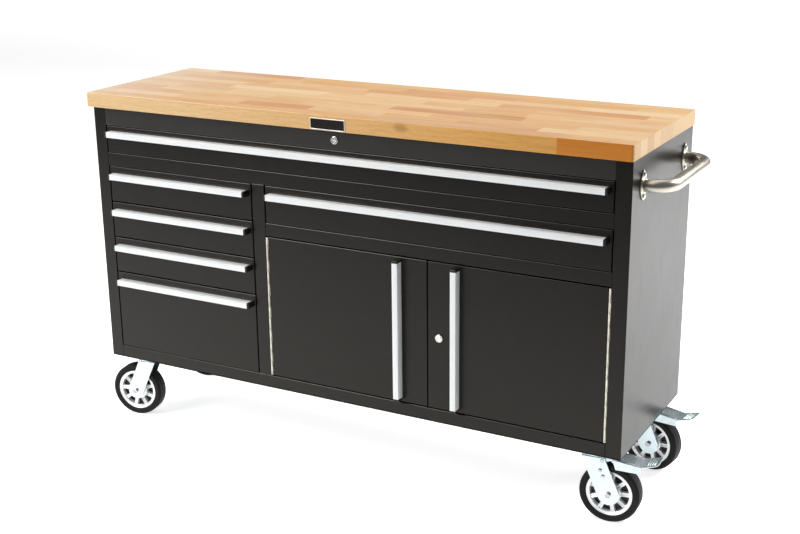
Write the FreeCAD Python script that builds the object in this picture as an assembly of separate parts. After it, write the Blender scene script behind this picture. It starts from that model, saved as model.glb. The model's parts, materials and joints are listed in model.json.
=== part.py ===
import FreeCAD, Part
import math
import os

# Rolling tool cabinet with a wooden worktop. Millimetres, +Z up, the front looks along -Y.
# While it is built, x is 0 in the middle of the steel body, y is 0 on its front face and
# z is 0 on the floor. At the end the whole model is moved so that the origin lies on the
# floor under the middle of its outer box.

Vector = FreeCAD.Vector
X_AXIS = Vector(1, 0, 0)
Y_AXIS = Vector(0, 1, 0)
Z_AXIS = Vector(0, 0, 1)

# Cutting shapes reach this far past the faces that they cut, and an edge or face counts as
# flat along an axis when it spans less than this
overshoot = 1.0
flat = 0.01

# Worktop: one solid wood slab
worktop_length = 1524.0
worktop_depth = 460.0
worktop_thickness = 38.0
worktop_corner_radius = 6.0
worktop_edge_radius = 2.0
worktop_side_overhang = 6.0
worktop_front_overhang = 19.0
worktop_back_inset = 5.0

# Bare metal nameplate on the worktop's front edge
nameplate_length = 98.0
nameplate_height = 28.0
nameplate_thickness = 1.5
nameplate_centre_x = -8.0
nameplate_low_margin = 2.0

# Steel body, folded from sheet
sheet = 1.2
post_width = 38.0
post_return = 60.0
left_bay_width = 466.0
divider_width = 38.0
sill_height = 33.5
sill_return = 13.0
deep_row_height = 220.0
row_height = 100.0
shallow_rows = 3
mid_rail_height = 36.0
top_row_height = 75.0
header_height = 49.5
right_rail_height = 34.0
rail_return = 25.0
back_flange = 15.0

# Drawers: folded front pan on a folded box
reveal = 3.0
front_depth = 15.0
box_floor_gap = 10.0
box_top_gap = 14.0
box_back_space = 26.0

# Ball-bearing slides: cabinet member, middle member and drawer member, one inside the next
slide_space = 12.7
slide_height = 45.0
slide_wall = 1.2
slide_setback = 5.0
slide_lift = 3.0
slide_ball_gap = 2.5
slide_side_gap = 0.6
slide_outer_lip = 9.5

# Extruded pulls, the same section on drawers and doors
pull_depth = 22.0
pull_face = 15.0
pull_wall = 3.0
pull_flange = 13.0
pull_groove = 1.6
pull_groove_width = 3.0
pull_cap = 6.0
pull_end_inset = 8.0
pull_drop = 18.0
top_pull_drop = 13.0
door_pull_end_inset = 6.0
door_pull_offset = 79.0

# Doors and their continuous hinges
door_depth = 18.0
door_lip = 15.0
hinge_gap = 6.0
hinge_leaf = 1.0
hinge_leaf_width = 16.0
hinge_pin_radius = 1.2
hinge_running = 0.05
hinge_knuckle_radius = 2.6
hinge_knuckles = 12
hinge_knuckle_gap = 0.3
hinge_end_inset = 1.0

# Cam locks
lock_ring_radius = 10.0
lock_ring_thickness = 3.0
lock_barrel_radius = 8.5
lock_barrel_length = 16.0
lock_plug_radius = 6.5
lock_plug_proud = 0.6
lock_running = 0.05
lock_hole_clearance = 0.1
lock_slot_length = 8.0
lock_slot_width = 1.5
lock_slot_depth = 2.0
lock_cam_gap = 0.5
lock_cam_thickness = 2.0
lock_cam_width = 10.0
header_cam_length = 16.0
door_cam_length = 40.0
door_lock_offset = 32.0
door_lock_height = 190.0

# Push handle: bent tube on two flanges
push_tube_radius = 15.0
push_tube_wall = 1.5
push_bend_radius = 52.0
push_reach = 63.0
push_front_y = 70.0
push_back_y = 381.0
push_drop = 70.0
push_flange_height = 72.0
push_flange_width = 40.0
push_flange_thickness = 3.0
push_bolt_spacing = 50.0
push_bolt_radius = 3.0
push_bolt_head_radius = 5.5
push_bolt_head = 4.0
push_bolt_length = 14.0
bolt_clearance = 0.2

# Casters: 150 mm wheels, swivel head, pressed fork
wheel_radius = 75.0
tyre_width = 38.0
tyre_edge_radius = 6.0
rim_radius = 57.4
rim_width = 33.0
rim_face_depth = 3.0
rim_window_outer = 48.0
rim_window_inner = 28.0
rim_window_angle = 24.0
rim_window_turn = 22.0
rim_ring_step = 1.0
rim_windows = 9
rim_membrane = 4.0
tyre_seat = 0.05
hub_radius = 13.0
hub_side_gap = 0.8
axle_radius = 5.0
axle_head_radius = 7.0
axle_head = 6.0
axle_running = 0.05
pin_seat = 0.05
leg_side_gap = 3.0
leg_thickness = 3.0
leg_bend_radius = 6.0
caster_trail = 40.0
caster_side_inset = 82.0
caster_front_inset = 62.0
caster_back_inset = 58.0
caster_plate_length = 110.0
caster_plate_width = 96.0
caster_plate_thickness = 3.0
caster_plate_corner = 8.0
caster_bolt_spacing_x = 84.0
caster_bolt_spacing_y = 72.0
caster_bolt_radius = 4.0
caster_bolt_flats = 13.0
caster_bolt_head = 5.5
caster_nut = 6.5
caster_bolt_end = 2.0
race_radius = 33.0
race_height = 6.0
race_gap = 0.3
collar_radius = 30.0
collar_height = 9.7
kingpin_radius = 6.0
kingpin_running = 0.05
kingpin_head_radius = 10.0
kingpin_head = 4.0
tyre_top_gap = 19.0

# Fork legs: wide ones carry the brake, plain ones do not
brake_leg_half = 29.0
brake_leg_foot_radius = 27.0
plain_leg_half = 25.0
plain_leg_foot_radius = 23.0
leg_shoulder = 6.0
leg_rivet_radius = 4.5
leg_rivet_height = 1.5
leg_rivets = [(18.5, 33.0), (25.5, 48.0)]

# Brake pedal, pivoted between the legs and reaching past the wheel
pedal_sheet = 2.5
pedal_pivot_x = 22.0
pedal_pivot_drop = 8.0
pedal_pin_radius = 3.5
pedal_pin_head_radius = 5.0
pedal_hub_radius = 6.5
pedal_cheek_inset = 1.0
pedal_neck_gap = 0.8
pedal_neck_start = 31.0
pedal_wide_start = 48.0
pedal_skirt_gap = 0.5
pedal_skirt_start = 56.0
pedal_tread_end = 116.0
pedal_foot_end = 158.0
pedal_start_drop = 0.5
pedal_tread_fall = 8.5
pedal_foot_rise = 13.0
pedal_skirt_heel = 26.0
pedal_skirt_toe = 17.5
pedal_pad_start = 42.0
pedal_pad_end = 58.0
pedal_pad_half_width = 12.0
pedal_pad_drop = 17.2
pedal_corner_radius = 10.0

# How far each caster is turned about its swivel in the rest position, degrees from +X
front_right_angle = 3.5
back_right_angle = -8.0
front_left_angle = 190.0
back_left_angle = 190.0

# Sizes that follow from the ones above
body_width = worktop_length - 2 * worktop_side_overhang
body_depth = worktop_depth - worktop_front_overhang + worktop_back_inset
half_body = body_width / 2
inner_half = half_body - post_width
head_drop = caster_plate_thickness + race_height + race_gap + collar_height
crown_drop = head_drop + leg_thickness
axle_drop = crown_drop + tyre_top_gap + wheel_radius
underside = axle_drop + wheel_radius
sill_top = underside + sill_height
rows_top = sill_top + deep_row_height + shallow_rows * row_height
top_row_bottom = rows_top + mid_rail_height
header_bottom = top_row_bottom + top_row_height
body_top = header_bottom + header_height
right_row_bottom = rows_top - row_height
doors_top = right_row_bottom - right_rail_height
left_bay_end = left_bay_width - inner_half
right_bay_start = left_bay_end + divider_width
doors_middle = (right_bay_start + inner_half) / 2
box_length = body_depth - front_depth - box_back_space
slide_start = front_depth + slide_setback
slide_length = box_length - slide_setback
leg_inner = tyre_width / 2 + leg_side_gap
leg_outer = leg_inner + leg_thickness
push_z = body_top - push_drop


def block(x0, y0, z0, x1, y1, z1):
    return Part.makeBox(x1 - x0, y1 - y0, z1 - z0, Vector(x0, y0, z0))


def post(radius, length, start, direction):
    return Part.makeCylinder(radius, length, start, direction)


def joined(shapes):
    whole = shapes[0].multiFuse(shapes[1:])
    return whole.removeSplitter()


def mirrored(shape):
    return shape.mirror(Vector(0, 0, 0), X_AXIS)


def prism(points, direction):
    wire = Part.makePolygon(points + [points[0]])
    return Part.Face(wire).extrude(direction)


def worktop():
    left = -worktop_length / 2
    front = -worktop_front_overhang
    slab = block(left, front, body_top, -left, front + worktop_depth, body_top + worktop_thickness)
    upright = [e for e in slab.Edges if e.BoundBox.ZLength > flat]
    slab = slab.makeFillet(worktop_corner_radius, upright)
    rims = [e for e in slab.Edges if e.BoundBox.ZLength < flat]
    return slab.makeFillet(worktop_edge_radius, rims)


def nameplate():
    left = nameplate_centre_x - nameplate_length / 2
    low = body_top + nameplate_low_margin
    back = -worktop_front_overhang
    return block(left, back - nameplate_thickness, low, left + nameplate_length, back,
                 low + nameplate_height)


def side_panel_right():
    low = underside + sheet
    high = body_top - sheet
    skin = block(half_body - sheet, 0, low, half_body, body_depth, high)
    front_face = block(inner_half, 0, low, half_body, sheet, high)
    inner = inner_half + sheet
    front_return = block(inner_half, 0, sill_top, inner, post_return, high)
    back_face = block(inner_half, body_depth - sheet, low, half_body, body_depth, high)
    back_return = block(inner_half, body_depth - post_return, sill_top, inner, body_depth, high)
    return joined([skin, front_face, front_return, back_face, back_return])


def with_push_handle_holes(panel):
    for y in (push_front_y, push_back_y):
        for z in (push_z - push_bolt_spacing / 2, push_z + push_bolt_spacing / 2):
            start = Vector(half_body - 2 * sheet, y, z)
            panel = panel.cut(post(push_bolt_radius + bolt_clearance, 3 * sheet, start, X_AXIS))
    return panel


def back_panel():
    low = underside + sheet
    high = body_top - sheet
    skin = block(-inner_half, body_depth - sheet, low, inner_half, body_depth, high)
    left = block(-inner_half, body_depth - back_flange, low, sheet - inner_half, body_depth, high)
    return joined([skin, left, mirrored(left)])


def top_panel():
    return block(-half_body, 0, body_top - sheet, half_body, body_depth, body_top)


def caster_places():
    x = half_body - caster_side_inset
    back_y = body_depth - caster_back_inset
    return {"front_right": (x, caster_front_inset, front_right_angle),
            "back_right": (x, back_y, back_right_angle),
            "front_left": (-x, caster_front_inset, front_left_angle),
            "back_left": (-x, back_y, back_left_angle)}


def caster_bolt_points():
    points = []
    for x, y, turn in caster_places().values():
        for dx in (-caster_bolt_spacing_x / 2, caster_bolt_spacing_x / 2):
            for dy in (-caster_bolt_spacing_y / 2, caster_bolt_spacing_y / 2):
                points.append(Vector(x + dx, y + dy, underside))
    return points


def bottom_panel():
    floor = block(-half_body, 0, underside, half_body, body_depth, underside + sheet)
    sill = block(-inner_half, 0, underside, inner_half, sheet, sill_top)
    ledge = block(-inner_half, 0, sill_top - sheet, inner_half, sill_return, sill_top)
    pan = joined([floor, sill, ledge])
    for point in caster_bolt_points():
        start = point - Z_AXIS * sheet
        pan = pan.cut(post(caster_bolt_radius + bolt_clearance, 3 * sheet, start, Z_AXIS))
    return pan


def channel(left, right, low, high):
    face = block(left, 0, low, right, sheet, high)
    bottom = block(left, 0, low, right, rail_return, low + sheet)
    top = block(left, 0, high - sheet, right, rail_return, high)
    return joined([face, bottom, top])


def header_rail():
    rail = channel(-inner_half, inner_half, header_bottom, body_top - sheet)
    return rail.cut(lock_hole(header_lock_place()))


def divider():
    low = underside + sheet
    back = body_depth - sheet
    notch = sill_return
    outline = [(0, sill_top), (0, rows_top), (back, rows_top), (back, low), (notch, low), (notch, sill_top)]
    walls = []
    for x in (left_bay_end, right_bay_start - sheet):
        points = [Vector(x, y, z) for y, z in outline]
        walls.append(prism(points, X_AXIS * sheet))
    face = block(left_bay_end, 0, sill_top, right_bay_start, sheet, rows_top)
    return joined(walls + [face])


def drawer_places():
    places = {"drawer_1": (-inner_half, inner_half, top_row_bottom, top_row_height, top_pull_drop)}
    low = rows_top
    for index in range(shallow_rows):
        low = low - row_height
        name = "drawer_" + str(index + 2)
        places[name] = (-inner_half, left_bay_end, low, row_height, pull_drop)
    name = "drawer_" + str(shallow_rows + 2)
    places[name] = (-inner_half, left_bay_end, sill_top, deep_row_height, pull_drop)
    name = "drawer_" + str(shallow_rows + 3)
    places[name] = (right_bay_start, inner_half, right_row_bottom, row_height, pull_drop)
    return places


def drawer_body(left, right, low, height):
    x0 = left + reveal
    x1 = right - reveal
    z0 = low + reveal / 2
    z1 = low + height - reveal / 2
    pan = block(x0, 0, z0, x1, front_depth, z1)
    pan = pan.cut(block(x0 + sheet, sheet, z0 + sheet, x1 - sheet, front_depth + overshoot, z1 - sheet))
    b0 = left + slide_space
    b1 = right - slide_space
    floor_z = low + box_floor_gap
    top_z = low + height - box_top_gap
    start = front_depth - sheet
    end = front_depth + box_length
    box = block(b0, start, floor_z, b1, end, top_z)
    hollow = block(b0 + sheet, start + sheet, floor_z + sheet, b1 - sheet, end - sheet, top_z + overshoot)
    bridge = block(x0, start, floor_z, x1, front_depth, top_z)
    return joined([pan, box.cut(hollow), bridge])


def slide_member(place, side, web, lip, half_height):
    # side is +1 where the cabinet wall lies on the slide's left, -1 where it lies on its right;
    # web and lip are distances from that wall
    wall, centre = place
    near = wall + side * web
    far = wall + side * (web + slide_wall)
    tip = wall + side * lip
    y1 = slide_start + slide_length
    x0, x1 = min(near, far), max(near, far)
    plate = block(x0, slide_start, centre - half_height, x1, y1, centre + half_height)
    x0, x1 = min(near, far, tip), max(near, far, tip)
    top = block(x0, slide_start, centre + half_height - slide_wall, x1, y1, centre + half_height)
    low = block(x0, slide_start, centre - half_height, x1, y1, centre - half_height + slide_wall)
    return joined([plate, top, low])


def slide_pair(left, right, low, web, lip, half_height):
    centre = low + box_floor_gap + slide_lift + slide_height / 2
    first = slide_member((left, centre), 1, web, lip, half_height)
    second = slide_member((right, centre), -1, web, lip, half_height)
    return [first, second]


def cabinet_members(left, right, low):
    return slide_pair(left, right, low, 0, slide_outer_lip, slide_height / 2)


def middle_members(left, right, low):
    web = slide_wall + slide_side_gap
    lip = slide_space - slide_wall - slide_side_gap
    half_height = slide_height / 2 - slide_wall - slide_ball_gap
    return slide_pair(left, right, low, web, lip, half_height)


def drawer_members(left, right, low):
    web = slide_space - slide_wall
    lip = 2 * slide_wall + 2 * slide_side_gap
    half_height = slide_height / 2 - 2 * slide_wall - 2 * slide_ball_gap
    return slide_pair(left, right, low, web, lip, half_height)


def pull_outline():
    # section of the pull: (distance in front of the panel, distance below the top of the pull)
    groove = pull_depth - pull_wall
    return [(0, 0), (groove - pull_groove_width, 0), (groove - pull_groove_width, pull_groove),
            (groove, pull_groove), (groove, 0), (pull_depth, 0), (pull_depth, pull_face),
            (groove, pull_face), (groove, pull_wall), (pull_wall, pull_wall),
            (pull_wall, pull_flange), (0, pull_flange)]


def cap_outline():
    return [(0, 0), (pull_depth, 0), (pull_depth, pull_face), (0, pull_face)]


def drawer_pull(left, right, top):
    x0 = left + reveal + pull_end_inset
    x1 = right - reveal - pull_end_inset
    bar = [Vector(x0 + pull_cap, -out, top - down) for out, down in pull_outline()]
    end = [Vector(x0, -out, top - down) for out, down in cap_outline()]
    bar = prism(bar, X_AXIS * (x1 - x0 - 2 * pull_cap))
    end = prism(end, X_AXIS * pull_cap)
    other = end.copy()
    other.translate(X_AXIS * (x1 - x0 - pull_cap))
    return [bar, end, other]


def door_pull(centre_x, low, high):
    # the same section stood on end, its closed side towards +X
    x = centre_x + pull_face / 2
    z0 = low + door_pull_end_inset
    z1 = high - door_pull_end_inset
    bar = [Vector(x - down, -out, z0 + pull_cap) for out, down in pull_outline()]
    end = [Vector(x - down, -out, z0) for out, down in cap_outline()]
    bar = prism(bar, Z_AXIS * (z1 - z0 - 2 * pull_cap))
    end = prism(end, Z_AXIS * pull_cap)
    other = end.copy()
    other.translate(Z_AXIS * (z1 - z0 - pull_cap))
    return [bar, end, other]


def door_edges():
    low = sill_top + reveal
    high = doors_top - reveal
    left_door = (right_bay_start + hinge_gap, doors_middle - reveal / 2, low, high)
    right_door = (doors_middle + reveal / 2, inner_half - hinge_gap, low, high)
    return left_door, right_door


def door_panel(edges):
    x0, x1, z0, z1 = edges
    shell = block(x0, 0, z0, x1, door_depth, z1)
    inside = block(x0 + sheet, sheet, z0 + sheet, x1 - sheet, door_depth - sheet, z1 - sheet)
    back = door_depth + overshoot
    window = block(x0 + door_lip, sheet, z0 + door_lip, x1 - door_lip, back, z1 - door_lip)
    return shell.cut(inside).cut(window)


def hinge_half(pin_x, side, low, high, first):
    # one leaf with every second knuckle; side is -1 or +1, the way the leaf lies from the pin
    z0 = low + hinge_end_inset
    pitch = (high - low - 2 * hinge_end_inset) / hinge_knuckles
    wall = pin_x + side * hinge_gap / 2
    inner = wall - side * hinge_leaf
    x0, x1 = min(wall, inner), max(wall, inner)
    clear = hinge_knuckle_radius + hinge_knuckle_gap
    pieces = [block(x0, clear, z0, x1, hinge_leaf_width, z0 + pitch * hinge_knuckles)]
    for index in range(first, hinge_knuckles, 2):
        start = z0 + index * pitch + hinge_knuckle_gap / 2
        height = pitch - hinge_knuckle_gap
        pieces.append(block(x0, 0, start, x1, clear, start + height))
        pieces.append(post(hinge_knuckle_radius, height, Vector(pin_x, 0, start), Z_AXIS))
    leaf = joined(pieces)
    bore = post(hinge_pin_radius + hinge_running, high - low, Vector(pin_x, 0, low), Z_AXIS)
    return leaf.cut(bore)


def hinge_pin(pin_x, low, high):
    start = Vector(pin_x, 0, low + hinge_end_inset)
    return post(hinge_pin_radius, high - low - 2 * hinge_end_inset, start, Z_AXIS)


def header_lock_place():
    return (0, (header_bottom + body_top - sheet) / 2)


def door_lock_place():
    return (doors_middle + door_lock_offset, sill_top + door_lock_height)


def lock_hole(place):
    start = Vector(place[0], -overshoot, place[1])
    return post(lock_barrel_radius + lock_hole_clearance, sheet + 2 * overshoot, start, Y_AXIS)


def lock_housing(place):
    centre = Vector(place[0], 0, place[1])
    ring = post(lock_ring_radius, lock_ring_thickness, centre - Y_AXIS * lock_ring_thickness, Y_AXIS)
    barrel = post(lock_barrel_radius, lock_barrel_length, centre, Y_AXIS)
    start = centre - Y_AXIS * (lock_ring_thickness + overshoot)
    length = lock_ring_thickness + lock_barrel_length + 2 * overshoot
    bore = post(lock_plug_radius + lock_running, length, start, Y_AXIS)
    return joined([ring, barrel]).cut(bore)


def lock_plug(place, cam_length, depth):
    front = -lock_ring_thickness - lock_plug_proud
    cam_start = depth + lock_cam_gap
    centre = Vector(place[0], front, place[1])
    plug = post(lock_plug_radius, cam_start - front, centre, Y_AXIS)
    half = lock_slot_length / 2
    slot = block(place[0] - half, front - overshoot, place[1] - lock_slot_width / 2, place[0] + half,
                 front + lock_slot_depth, place[1] + lock_slot_width / 2)
    x0 = place[0] - lock_cam_width / 2
    cam = block(x0, cam_start, place[1] - lock_cam_width / 2, x0 + lock_cam_width,
                cam_start + lock_cam_thickness, place[1] + cam_length)
    return joined([plug.cut(slot), cam])


def push_rod(radius, x_start):
    x_run = half_body + push_reach
    x_bend = x_run - push_bend_radius
    y0 = push_front_y
    y1 = push_back_y
    rise = push_bend_radius
    front_leg = post(radius, x_bend - x_start, Vector(x_start, y0, push_z), X_AXIS)
    back_leg = post(radius, x_bend - x_start, Vector(x_start, y1, push_z), X_AXIS)
    run = post(radius, y1 - y0 - 2 * rise, Vector(x_run, y0 + rise, push_z), Y_AXIS)
    front_bend = quarter_bend(radius, Vector(x_bend, y0 + rise, push_z), -90)
    back_bend = quarter_bend(radius, Vector(x_bend, y1 - rise, push_z), 0)
    return joined([front_leg, front_bend, run, back_bend, back_leg])


def quarter_bend(radius, centre, start_angle):
    section = Part.Wire(Part.makeCircle(radius, Vector(push_bend_radius, 0, 0), Y_AXIS))
    bend = Part.Face(section).revolve(Vector(0, 0, 0), Z_AXIS, 90)
    bend.rotate(Vector(0, 0, 0), Z_AXIS, start_angle)
    bend.translate(centre)
    return bend


def push_flange(y):
    # upright pointed oval, two arcs through the tips
    half = push_flange_height / 2
    side = push_flange_width / 2
    bottom = Vector(half_body, y, push_z - half)
    top = Vector(half_body, y, push_z + half)
    front_arc = Part.Arc(bottom, Vector(half_body, y - side, push_z), top).toShape()
    back_arc = Part.Arc(top, Vector(half_body, y + side, push_z), bottom).toShape()
    plate = Part.Face(Part.Wire([front_arc, back_arc])).extrude(X_AXIS * push_flange_thickness)
    for z in (push_z - push_bolt_spacing / 2, push_z + push_bolt_spacing / 2):
        start = Vector(half_body - overshoot, y, z)
        length = push_flange_thickness + 2 * overshoot
        hole = post(push_bolt_radius + bolt_clearance, length, start, X_AXIS)
        plate = plate.cut(hole)
    return plate


def push_handle():
    flanges = [push_flange(push_front_y), push_flange(push_back_y)]
    outside = joined([push_rod(push_tube_radius, half_body + push_flange_thickness)] + flanges)
    return outside.cut(push_rod(push_tube_radius - push_tube_wall, half_body - overshoot))


def push_handle_bolts():
    bolts = []
    seat = half_body + push_flange_thickness
    for y in (push_front_y, push_back_y):
        for z in (push_z - push_bolt_spacing / 2, push_z + push_bolt_spacing / 2):
            head = post(push_bolt_head_radius, push_bolt_head, Vector(seat, y, z), X_AXIS)
            shank = post(push_bolt_radius, push_bolt_length, Vector(seat - push_bolt_length, y, z), X_AXIS)
            nut = hexagon(push_bolt_head_radius, push_bolt_head, Vector(half_body - sheet, y, z), -X_AXIS)
            bolts.append(joined([head, shank, nut]))
    return bolts


def hexagon(radius, height, centre, direction):
    side = Y_AXIS if abs(direction.x) > 0.5 else X_AXIS
    other = direction.cross(side)
    points = []
    for step in range(6):
        angle = math.radians(60 * step)
        points.append(centre + side * (radius * math.cos(angle)) + other * (radius * math.sin(angle)))
    return prism(points, direction * height)


def at_caster(shape, place):
    x, y, turn = place
    moved = shape.copy()
    moved.rotate(Vector(0, 0, 0), Z_AXIS, turn)
    moved.translate(Vector(x, y, underside))
    return moved


def caster_head():
    # top plate, upper race and kingpin; z is 0 on the body's underside
    length = caster_plate_length / 2
    width = caster_plate_width / 2
    plate = block(-length, -width, -caster_plate_thickness, length, width, 0)
    corners = [e for e in plate.Edges if e.BoundBox.ZLength > flat]
    plate = plate.makeFillet(caster_plate_corner, corners)
    down = -Z_AXIS
    race = post(race_radius, race_height, Vector(0, 0, -caster_plate_thickness), down)
    pin = post(kingpin_radius, crown_drop + race_gap, Vector(0, 0, -caster_plate_thickness / 2), down)
    head = post(kingpin_head_radius, kingpin_head, Vector(0, 0, -crown_drop - race_gap), down)
    return joined([plate, race, pin, head])


def caster_plates():
    plates = []
    hole_radius = caster_bolt_radius + bolt_clearance
    for x, y, turn in caster_places().values():
        head = caster_head()
        head.translate(Vector(x, y, underside))
        for dx in (-caster_bolt_spacing_x / 2, caster_bolt_spacing_x / 2):
            for dy in (-caster_bolt_spacing_y / 2, caster_bolt_spacing_y / 2):
                start = Vector(x + dx, y + dy, underside + overshoot)
                head = head.cut(post(hole_radius, caster_plate_thickness + 2 * overshoot, start, -Z_AXIS))
        plates.append(head)
    return plates


def caster_bolts():
    corner = caster_bolt_flats / math.sqrt(3)
    bolts = []
    for point in caster_bolt_points():
        seat = point - Z_AXIS * caster_plate_thickness
        head = hexagon(corner, caster_bolt_head, seat, -Z_AXIS)
        length = caster_plate_thickness + sheet + caster_nut + caster_bolt_end
        shank = post(caster_bolt_radius, length, seat, Z_AXIS)
        nut = hexagon(corner, caster_nut, point + Z_AXIS * sheet, Z_AXIS)
        bolts.append(joined([head, shank, nut]))
    return bolts


def top_edges_along_x(shape):
    top = shape.BoundBox.ZMax - flat
    return [e for e in shape.Edges if e.BoundBox.XLength > flat and e.BoundBox.ZMin > top]


def fork(half, foot_radius, braked):
    axle = Vector(caster_trail, 0, -axle_drop)
    shoulder = -head_drop - leg_shoulder
    slant = math.hypot(caster_trail, axle_drop + shoulder)
    along = Vector(caster_trail / slant, 0, -(axle_drop + shoulder) / slant)
    across = Vector(-along.z, 0, along.x)
    right = axle + across * foot_radius
    left = axle - across * foot_radius
    foot = Part.Arc(right, axle + along * foot_radius, left).toShape()
    corners = [left, Vector(-half, 0, shoulder), Vector(-half, 0, -head_drop),
               Vector(half, 0, -head_drop), Vector(half, 0, shoulder), right]
    edges = [Part.makeLine(a, b) for a, b in zip(corners, corners[1:])]
    side = Part.Face(Part.Wire(edges + [foot])).extrude(Y_AXIS * (2 * leg_outer))
    side.translate(Y_AXIS * -leg_outer)
    reach = caster_trail + foot_radius + half
    low = -axle_drop - foot_radius - overshoot
    hood = block(-reach, -leg_outer, low, reach, leg_outer, -head_drop)
    hood = hood.makeFillet(leg_bend_radius, top_edges_along_x(hood))
    past = reach + overshoot
    gap = block(-past, -leg_inner, low - overshoot, past, leg_inner, -crown_drop)
    gap = gap.makeFillet(leg_bend_radius - leg_thickness, top_edges_along_x(gap))
    bracket = side.common(hood.cut(gap))
    collar = post(collar_radius, collar_height, Vector(0, 0, -head_drop), Z_AXIS)
    pieces = [bracket, collar]
    if braked:
        for x, drop in leg_rivets:
            for y in (leg_inner, -leg_outer - leg_rivet_height):
                start = Vector(x, y, -crown_drop - drop)
                pieces.append(post(leg_rivet_radius, leg_thickness + leg_rivet_height, start, Y_AXIS))
    bracket = joined(pieces)
    start = Vector(0, 0, -crown_drop - overshoot)
    bracket = bracket.cut(post(kingpin_radius + kingpin_running, crown_drop + overshoot, start, Z_AXIS))
    bracket = bracket.cut(leg_hole(axle, axle_radius))
    solids = [bracket, cross_bolt(axle, axle_radius, axle_head_radius, axle_head)]
    if braked:
        pivot = pedal_pivot()
        solids[0] = bracket.cut(leg_hole(pivot, pedal_pin_radius))
        solids.append(cross_bolt(pivot, pedal_pin_radius, pedal_pin_head_radius, leg_rivet_height))
    return solids


def leg_hole(centre, radius):
    past = leg_outer + overshoot
    return post(radius + pin_seat, 2 * past, centre - Y_AXIS * past, Y_AXIS)


def cross_bolt(centre, radius, head_radius, head):
    shank = post(radius, 2 * leg_outer, centre - Y_AXIS * leg_outer, Y_AXIS)
    near = post(head_radius, head, centre - Y_AXIS * (leg_outer + head), Y_AXIS)
    far = post(head_radius, head, centre + Y_AXIS * leg_outer, Y_AXIS)
    return joined([near, shank, far])


def rim():
    disc = post(rim_radius, rim_width, Vector(0, -rim_width / 2, 0), Y_AXIS)
    ring_inner = rim_window_outer + rim_ring_step
    for y in (-rim_width / 2 - overshoot, rim_width / 2 - rim_face_depth):
        disc = disc.cut(post(ring_inner, rim_face_depth + overshoot, Vector(0, y, 0), Y_AXIS))
    half = rim_width / 2
    for index in range(rim_windows):
        angle = rim_window_turn + 360.0 / rim_windows * index
        for side in (-1, 1):
            pocket = window_prism(angle, side, half)
            disc = disc.cut(pocket)
    hub_half = leg_inner - hub_side_gap
    hub = post(hub_radius, 2 * hub_half, Vector(0, -hub_half, 0), Y_AXIS)
    disc = joined([disc, hub])
    past = hub_half + overshoot
    bore = post(axle_radius + axle_running, 2 * past, Vector(0, -past, 0), Y_AXIS)
    return disc.cut(bore)


def window_prism(angle, side, half):
    start = rim_membrane / 2
    spread = math.radians(rim_window_angle / 2)
    middle = math.radians(angle)
    points = []
    for radius, offset in ((rim_window_inner, -spread), (rim_window_outer, -spread),
                           (rim_window_outer, spread), (rim_window_inner, spread)):
        turn = middle + offset
        points.append(Vector(radius * math.cos(turn), side * start, radius * math.sin(turn)))
    return prism(points, Y_AXIS * (side * (half + overshoot)))


def tyre():
    half = tyre_width / 2
    inner = rim_radius + tyre_seat
    body = post(wheel_radius, tyre_width, Vector(0, -half, 0), Y_AXIS)
    rims = [e for e in body.Edges if e.BoundBox.YLength < flat]
    body = body.makeFillet(tyre_edge_radius, rims)
    past = half + overshoot
    return body.cut(post(inner, 2 * past, Vector(0, -past, 0), Y_AXIS))


def pedal_pivot():
    return Vector(pedal_pivot_x, 0, -crown_drop - pedal_pivot_drop)


def pedal_strip(points, half_width):
    # a strip of plate that follows the line through the points, seen from the side
    lower = [Vector(x, 0, z - pedal_sheet) for x, z in points]
    upper = [Vector(x, 0, z) for x, z in reversed(points)]
    strip = prism([p - Y_AXIS * half_width for p in lower + upper], Y_AXIS * (2 * half_width))
    return strip


def pedal_plan(x0, x1, half_width, height):
    # rounded outline of the pedal's foot, seen from above
    low = height - pedal_foot_rise - pedal_sheet - overshoot
    high = height + pedal_foot_rise + overshoot
    plan = block(x0, -half_width, low, x1, half_width, high)
    corners = [e for e in plan.Edges if e.BoundBox.ZLength > flat and e.BoundBox.XMin > x1 - flat]
    return plan.makeFillet(pedal_corner_radius, corners)


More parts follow.
